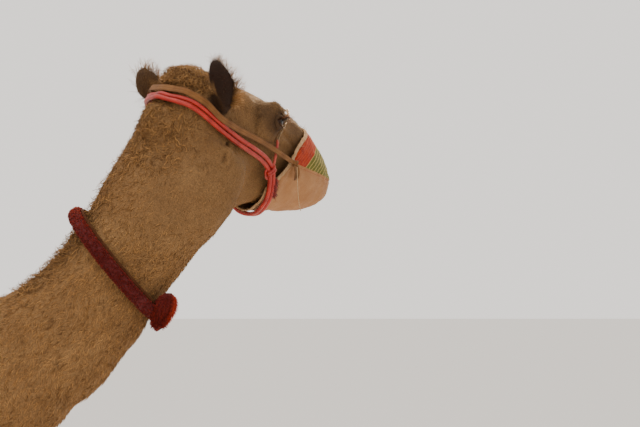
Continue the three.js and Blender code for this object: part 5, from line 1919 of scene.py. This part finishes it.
TAPE_WIDTH, TAPE_THICK = 0.0088, 0.0040
round_rim = np.roll(bag_grid[0], -2, axis=0) - np.roll(bag_grid[0], 2, axis=0)
inwards = unit(bag_grid[6] - bag_grid[0])
rim_out = unit(np.cross(round_rim, inwards))
rim_out *= np.sign((rim_out * (bag_grid[0] - starts[0])).sum(axis=1))[:, None]
wander = waves(bag_grid[0], 0.05, 47)
rim_line = bag_grid[0] + inwards * TAPE_WIDTH * 0.38 + rim_out * (0.0002 + 0.0004 * wander)[:, None]
rim = swept("rim_tape", transformed(rim_line, HEAD), rim_out @ HEAD_TURN.T,
            flat_section(lambda share: TAPE_WIDTH + 0.0008 * np.sin(43 * share), TAPE_THICK), 16, closed=True)
complete(rim, tape_finish, "canvas")

# %% Loose threads on the rim tape
RIM_THREADS, BUNCHED = 260, 110
draw = np.random.default_rng(451)
n = RIM_THREADS
at = draw.integers(0, len(rim_line), n)
bunched = BAG_TURNS * draw.choice([0.02, 0.98, 0.30, 0.70], BUNCHED) + draw.normal(0, 4, BUNCHED)
at[:BUNCHED] = bunched.astype(int) % BAG_TURNS
root = transformed(rim_line[at], HEAD) + draw.normal(0, 0.0018, (n, 3))
way = unit((unit(rim_out)[at] @ HEAD_TURN.T) * 0.8 - np.array(HEAD.to_3x3() @ Vector((0.7, 0, 0)))
           + draw.normal(0, 0.5, (n, 3)))
s = np.linspace(0, 1, 5)[:, None]
curl = unit(draw.normal(size=(n, 3)))[:, None]
long = draw.uniform(0.003, 0.011, n)[:, None, None]
routes = root[:, None] + (way[:, None] * s + curl * 0.5 * s**2) * long
threads = strands("rim_threads", routes, np.tile([0.0004, 0.0004, 0.00035, 0.0003, 0.0001], (n, 1)),
                  unwrapped(root), 452)
complete(threads, tape_finish, "canvas")

# %% [markdown]
# ## The strap and its knots
#
# A flat woven strap runs over the poll from one side of the bag to the other. Its solid is a
# row of four-cornered sections, so the long sides of each give the strap's breadth and lie. It
# is tied to the rim on each cheek in a plain overhand knot, a trefoil line with a crumpled
# tube on it, and the two ends of the strap hang down from it, folded flat.

# %% The strap
STRAP_GATHERED = 0.55                  # its width where it goes into a knot
corners, edges = corners_and_edges("muzzle_strap")
a, b = edges.T
thin = np.linalg.norm(corners[a] - corners[b], axis=1) < 0.0036
pairs = corners[edges[thin]]
pair_middles = pairs.mean(axis=1)
local = transformed(pair_middles, TO_HEAD)
order = np.argsort(np.arctan2(local[:, 1], local[:, 0] - 0.10) % (2 * math.pi))
pair_middles = pair_middles[order][: len(order) // 2 * 2].reshape(-1, 2, 3)
strap_line = pair_middles.mean(axis=1)
strap_across = pair_middles[:, 0] - pair_middles[:, 1]
strap_width = np.linalg.norm(strap_across, axis=1)
for i in range(1, len(strap_across)):
    if strap_across[i] @ strap_across[i - 1] < 0:
        strap_across[i] *= -1
ahead = np.gradient(strap_line, axis=0)
strap_out = unit(np.cross(strap_across, ahead))
if (strap_out[10] @ (strap_line[10] - HEAD_MIDDLE)) < 0:
    strap_out = -strap_out
print("strap sections:", len(strap_line), "width", np.round([strap_width.min(), strap_width.max()], 4))

for end, at in ((0, 0), (-1, len(strap_line) + 1)):        # the strap runs on into its knots
    knots_at = [np.array(middle("muzzle_knot_" + hand)) for hand in ("right", "left")]
    knot_at = min(knots_at, key=lambda knot: np.linalg.norm(knot - strap_line[end]))
    strap_line = np.insert(strap_line, at, knot_at, axis=0)
    strap_out = np.insert(strap_out, at, strap_out[end], axis=0)
    strap_width = np.insert(strap_width, at, strap_width[end] * STRAP_GATHERED)

strap_finish, t, shader = material("strap webbing")
cloth = use_group(t, weave, Warp=16.0, Weft=520.0)
tone = t.noise(28.0, 4, 0.6, t.place())
web = t.mix(t.ramp(tone, [(0.3, 0.0), (0.7, 1.0)]), (0.110, 0.041, 0.009, 1), (0.220, 0.093, 0.024, 1))
# Painted shade: the webbing is darker in the low places of its weave.
t.paint(shader, t.mix(1.0, web, t.ramp(cloth["Height"], [(0.0, 0.65), (0.7, 1.0)]), "MULTIPLY"))
settle(shader, Roughness=0.85, Sheen_Weight=0.05, Specular_IOR_Level=0.25)
t.bump(shader, cloth["Height"], 0.0007)

STRAP_THICK = 0.0021
route = flowing(strap_line, 4)
out = flowing(strap_out, 4)
widths = flowing(strap_width[:, None], 4)[:, 0]
shares_along = np.linspace(0, 1, len(widths))
strap = swept("webbing_strap", route, out, flat_section(
    lambda share: np.interp(share, shares_along, widths) - 0.0006, STRAP_THICK), 16)
complete(strap, strap_finish, "webbing", "muzzle_strap")

t, shader = Tree(twine_finish.node_tree), twine_finish.node_tree.nodes["Principled BSDF"]
place = t.place()
lay = t.add("ShaderNodeTexWave", bands_direction="DIAGONAL", inputs={
    "Vector": place, "Scale": 190.0, "Distortion": 1.5}).outputs["Fac"]
# Painted shade: the twine is darker in the grooves of its lay.
t.paint(shader, t.mix(lay, (0.23, 0.13, 0.055, 1), (0.52, 0.36, 0.20, 1)))
settle(shader, Roughness=0.85)
t.bump(shader, lay, 0.0004)

# %% The knots and their tails
KNOT_SCALE = np.array([0.00260, 0.00195, 0.0021])
KNOT_TUBE = 0.0030
TAIL_LENGTH, TAIL_WIDTH = 0.036, 0.0095

for side, hand in HANDS:
    knot_centre = np.array(TO_HEAD @ middle("muzzle_knot_" + hand))
    turn = np.linspace(0, 2 * math.pi, 72, endpoint=False)
    trefoil = np.stack([np.sin(turn) + 2 * np.sin(2 * turn), -np.sin(3 * turn) * 1.1,
                        np.cos(turn) - 2 * np.cos(2 * turn)], axis=1) * KNOT_SCALE
    trefoil[:, 1] *= side
    line = transformed(trefoil + knot_centre, HEAD)
    outwards = trefoil * [1, 0.4, 1] + [0, side * 0.004, 0]
    pieces = [swept("knot", line, outwards @ HEAD_TURN.T,
                    flat_section(2.1 * KNOT_TUBE, 1.7 * KNOT_TUBE, 0.6), 12, closed=True)]
    for k, (lean, apart, long) in enumerate(((0.16, -0.0042, 1.0), (0.05, 0.0046, 0.86))):
        s = np.linspace(0, 1, 14)[:, None]
        start = knot_centre + np.array([apart, side * 0.0015, -0.004])
        drop = np.array([lean, 0, -1.0])
        bulge = np.array([0, side, 0]) * (0.0035 * np.sin(math.pi * s) + 0.002 * k + 0.0040 * s)
        line = start + drop * TAIL_LENGTH * long * s + bulge
        facing = np.tile([0.25 * (1 - 2 * k), side, 0.0], (len(line), 1))
        width = TAIL_WIDTH * (0.75 if k else 1.0)
        pieces.append(swept("tail", transformed(line, HEAD), facing @ HEAD_TURN.T,
                            flat_section(lambda share, w=width: w * (0.55 + 0.45 * smoothstep(0, 0.3, share)),
                                         0.0019), 12))
    knot = joined(pieces, "strap_knot_" + hand)
    complete(knot, strap_finish, "webbing", "muzzle_knot_" + hand)

# %% [markdown]
# ## The wool collar and its tassel
#
# The collar is a thick roll of cut wool pile on a strip of webbing, and the strip shows along
# its upper edge. The roll follows the rings of its solid, a little thinner, and thousands of
# short tufts stand out of it all round, as on the real pile. The tassel at the throat is a
# bunch of soft yarn, bound at the top, full in the middle and trimmed to a blunt point.

# %% Wool colours
WOOL_DEEP, WOOL_RED = (0.024, 0.0005, 0.0006, 1), (0.105, 0.0020, 0.0016, 1)
WOOL_PAINTED_LIGHT = (0.56, 0.045, 0.010, 1)
wool_finish, t, shader = material("red wool")
tuft = t.mix(t.value("tuft"), WOOL_DEEP, WOOL_RED)
# Painted light: tufts and yarns that face the light turn a lit orange towards their tips.
tuft = t.mix(t.math("MULTIPLY", t.value("tip"), t.value("bright"), clamp=True), tuft, WOOL_PAINTED_LIGHT)
t.paint(shader, tuft)
settle(shader, Roughness=0.8, Sheen_Weight=0.08, Specular_IOR_Level=0.25, Sheen_Roughness=0.35,
       Sheen_Tint=(1.0, 0.25, 0.15, 1))

core_finish, t, shader = material("wool core")
t.paint(shader, t.mix(t.noise(130.0, 4, 0.7, t.place()),
                      (0.030, 0.001, 0.002, 1), (0.10, 0.003, 0.004, 1)))
settle(shader, Roughness=0.95)

# %% The roll
PILE = 0.0042
rings = rings_of("collar", 0.019)
collar_line = middles_of(rings)
collar_middle = collar_line.mean(axis=0)
broad, thick = [], []
for ring, centre in zip(rings, collar_line):
    outwards = unit(centre - collar_middle)
    reach_out = (ring - centre) @ outwards
    broad.append(np.linalg.norm(ring - centre - np.outer(reach_out, outwards), axis=1).max())
    thick.append(np.abs(reach_out).max())
BROAD, THICK = np.median(broad), np.median(thick)
print("collar:", len(rings), "rings, half sizes", round(BROAD, 4), round(THICK, 4))
route = flowing(collar_line, 8, closed=True)
_, across, out = frame_along(route, route - collar_middle, closed=True)
headwards = np.sign((across @ np.array(NECK_AXIS)).mean())
roll = swept("wool_roll", route, route - collar_middle,
             lambda turn, share: ((BROAD - PILE * 0.85) * np.cos(turn), (THICK - PILE * 0.85) * np.sin(turn)),
             24, closed=True)
complete(roll, core_finish, "red_wool", "collar")

# %% Its pile
PILE_TUFTS = 10500
draw = np.random.default_rng(501)
n = PILE_TUFTS
at = draw.uniform(0, len(route), n)
i, j = at.astype(int) % len(route), (at.astype(int) + 1) % len(route)
f = (at % 1)[:, None]
turn = draw.uniform(0, 2 * math.pi, n)
centre = route[i] * (1 - f) + route[j] * f
side_way, out_way = (unit(v[i] * (1 - f) + v[j] * f) for v in (across, out))
c, s = np.cos(turn)[:, None], np.sin(turn)[:, None]
root = centre + side_way * c * (BROAD - PILE) + out_way * s * (THICK - PILE)
normal = unit(side_way * c * THICK + out_way * s * BROAD)
clump = np.stack([waves(root, 0.012, 510 + k) for k in range(3)], axis=1)
way = unit(normal + draw.normal(0, 0.26, (n, 3)) + 0.40 * clump - np.array([0, 0, 0.12]))
long = (PILE * draw.uniform(0.75, 1.22, n) * (1 + 0.10 * waves(root, 0.02, 505)))[:, None, None]
steps = np.array([0, 0.55, 1.0])[:, None]
routes = root[:, None] + way[:, None] * long * steps
widths = np.tile([0.00115, 0.00105, 0.00030], (n, 1))
patch = np.stack([at / len(route) * 0.98 + 0.01, turn / (2 * math.pi) * 0.3 + 0.02], axis=1)
# Painted light: tufts that face upwards are brighter at the tip, as if lit from above; the rest get a weak
# random share.
top_painted_light = 0.16 * smoothstep(0.2, 0.9, out_way[:, 2] * 0.5 + normal[:, 2] * 0.6)
bright = np.clip(0.10 + top_painted_light + draw.normal(0, 0.05, n), 0, 1)
pile = strands("collar_pile", routes, widths, patch, 506, bright=bright)
complete(pile, wool_finish, "red_wool")

# %% The webbing strip on its upper edge
strip_finish, t, shader = material("collar strip")
cloth = use_group(t, weave, Warp=8.0, Weft=560.0)
t.paint(shader, t.mix(cloth["Slub"], (0.026, 0.008, 0.003, 1), (0.080, 0.030, 0.013, 1)))
settle(shader, Roughness=0.85, Specular_IOR_Level=0.05)
t.bump(shader, cloth["Height"], 0.0006)
strip_line = route + across * headwards * (BROAD + 0.0012) + out * (-THICK * 0.52)
strip = swept("collar_strip", strip_line, across * headwards * 0.7 + out,
              flat_section(0.0066, 0.0028, 0.5), 12, closed=True)
complete(strip, strip_finish, "webbing")

# %% The tassel
tassel_low, tassel_high = (np.array(p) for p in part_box("collar_tassel"))
tassel_mid = (tassel_low + tassel_high) / 2
TASSEL_LEVELS = 8
YARNS = 620
draw = np.random.default_rng(521)
head_of = np.array([tassel_mid[0] + 0.0125, tassel_mid[1], tassel_high[2] - 0.004])
foot_of = np.array([tassel_mid[0] - 0.0130, tassel_mid[1], tassel_low[2]])
n = YARNS
turn = draw.uniform(0, 2 * math.pi, n)
ring = np.sqrt(draw.uniform(0.0, 1.0, n))
s = np.linspace(0, 1, TASSEL_LEVELS)
fullness = np.interp(s, [0, 0.12, 0.35, 0.60, 0.82, 1.0], [0.30, 0.66, 0.98, 1.0, 0.78, 0.48])
reach_down = (0.80 + 0.20 * (1 - ring**2)) * draw.uniform(0.90, 1.0, n)
RADIUS = 0.0245
down = head_of + (foot_of - head_of) * (s[None, :, None] * reach_down[:, None, None])
spread_x = np.cos(turn)[:, None] * ring[:, None] * fullness[None] * RADIUS * 1.02
spread_y = np.sin(turn)[:, None] * ring[:, None] * fullness[None] * RADIUS * 0.92
wave = np.sin(s[None] * draw.uniform(5, 11, (n, 1)) + draw.uniform(0, 6, (n, 1))) * 0.0011 * s[None]
routes = down + np.stack([spread_x + wave, spread_y - wave, 0 * spread_x], axis=2)
widths = np.tile(np.array([1.0, 1.05, 1.1, 1.15, 1.15, 1.1, 0.9, 0.35]) * 0.00135, (n, 1))
patch = np.stack([0.5 + 0.2 * ring * np.cos(turn), 0.6 + 0.2 * ring * np.sin(turn)], axis=1)
# Painted light: yarns on the front of the tassel get bright orange tips, as if lit from that side.
forward = np.clip(0.5 + 0.5 * np.cos(turn), 0, 1) * ring
bright = np.clip(0.62 * smoothstep(0.66, 1.0, forward) + draw.normal(0.06, 0.10, n), 0, 1)
yarns = strands("tassel_yarns", routes, widths, patch, 522, sides=5, bright=bright)
complete(yarns, wool_finish, "red_wool", "collar_tassel")

# %% Fuzz on the yarn
n = 7000
yarn = draw.integers(0, YARNS, n)
yarn = np.where(ring[yarn] > 0.55, yarn, np.argsort(ring)[-1 - (yarn % 300)])
level = draw.uniform(0.4, TASSEL_LEVELS - 1.01, n)
low, f = level.astype(int), (level % 1)[:, None]
root = routes[yarn, low] * (1 - f) + routes[yarn, low + 1] * f
outwards = np.stack([np.cos(turn[yarn]), np.sin(turn[yarn]), np.full(n, -0.25)], axis=1)
way = unit(outwards + draw.normal(0, 0.45, (n, 3)))
long = draw.uniform(0.0035, 0.0095, n)[:, None, None]
steps = np.array([0, 0.5, 1.0])[:, None]
fuzz_routes = root[:, None] + (way[:, None] * steps + np.array([0, 0, -0.35]) * steps**2) * long
# The fuzz takes the painted light of its yarn.
fuzz = strands("tassel_fuzz", fuzz_routes, np.tile([0.0006, 0.0005, 0.00015], (n, 1)), patch[yarn], 523,
               bright=np.clip(bright[yarn] * 1.1 + 0.05, 0, 1))
complete(fuzz, wool_finish, "red_wool")
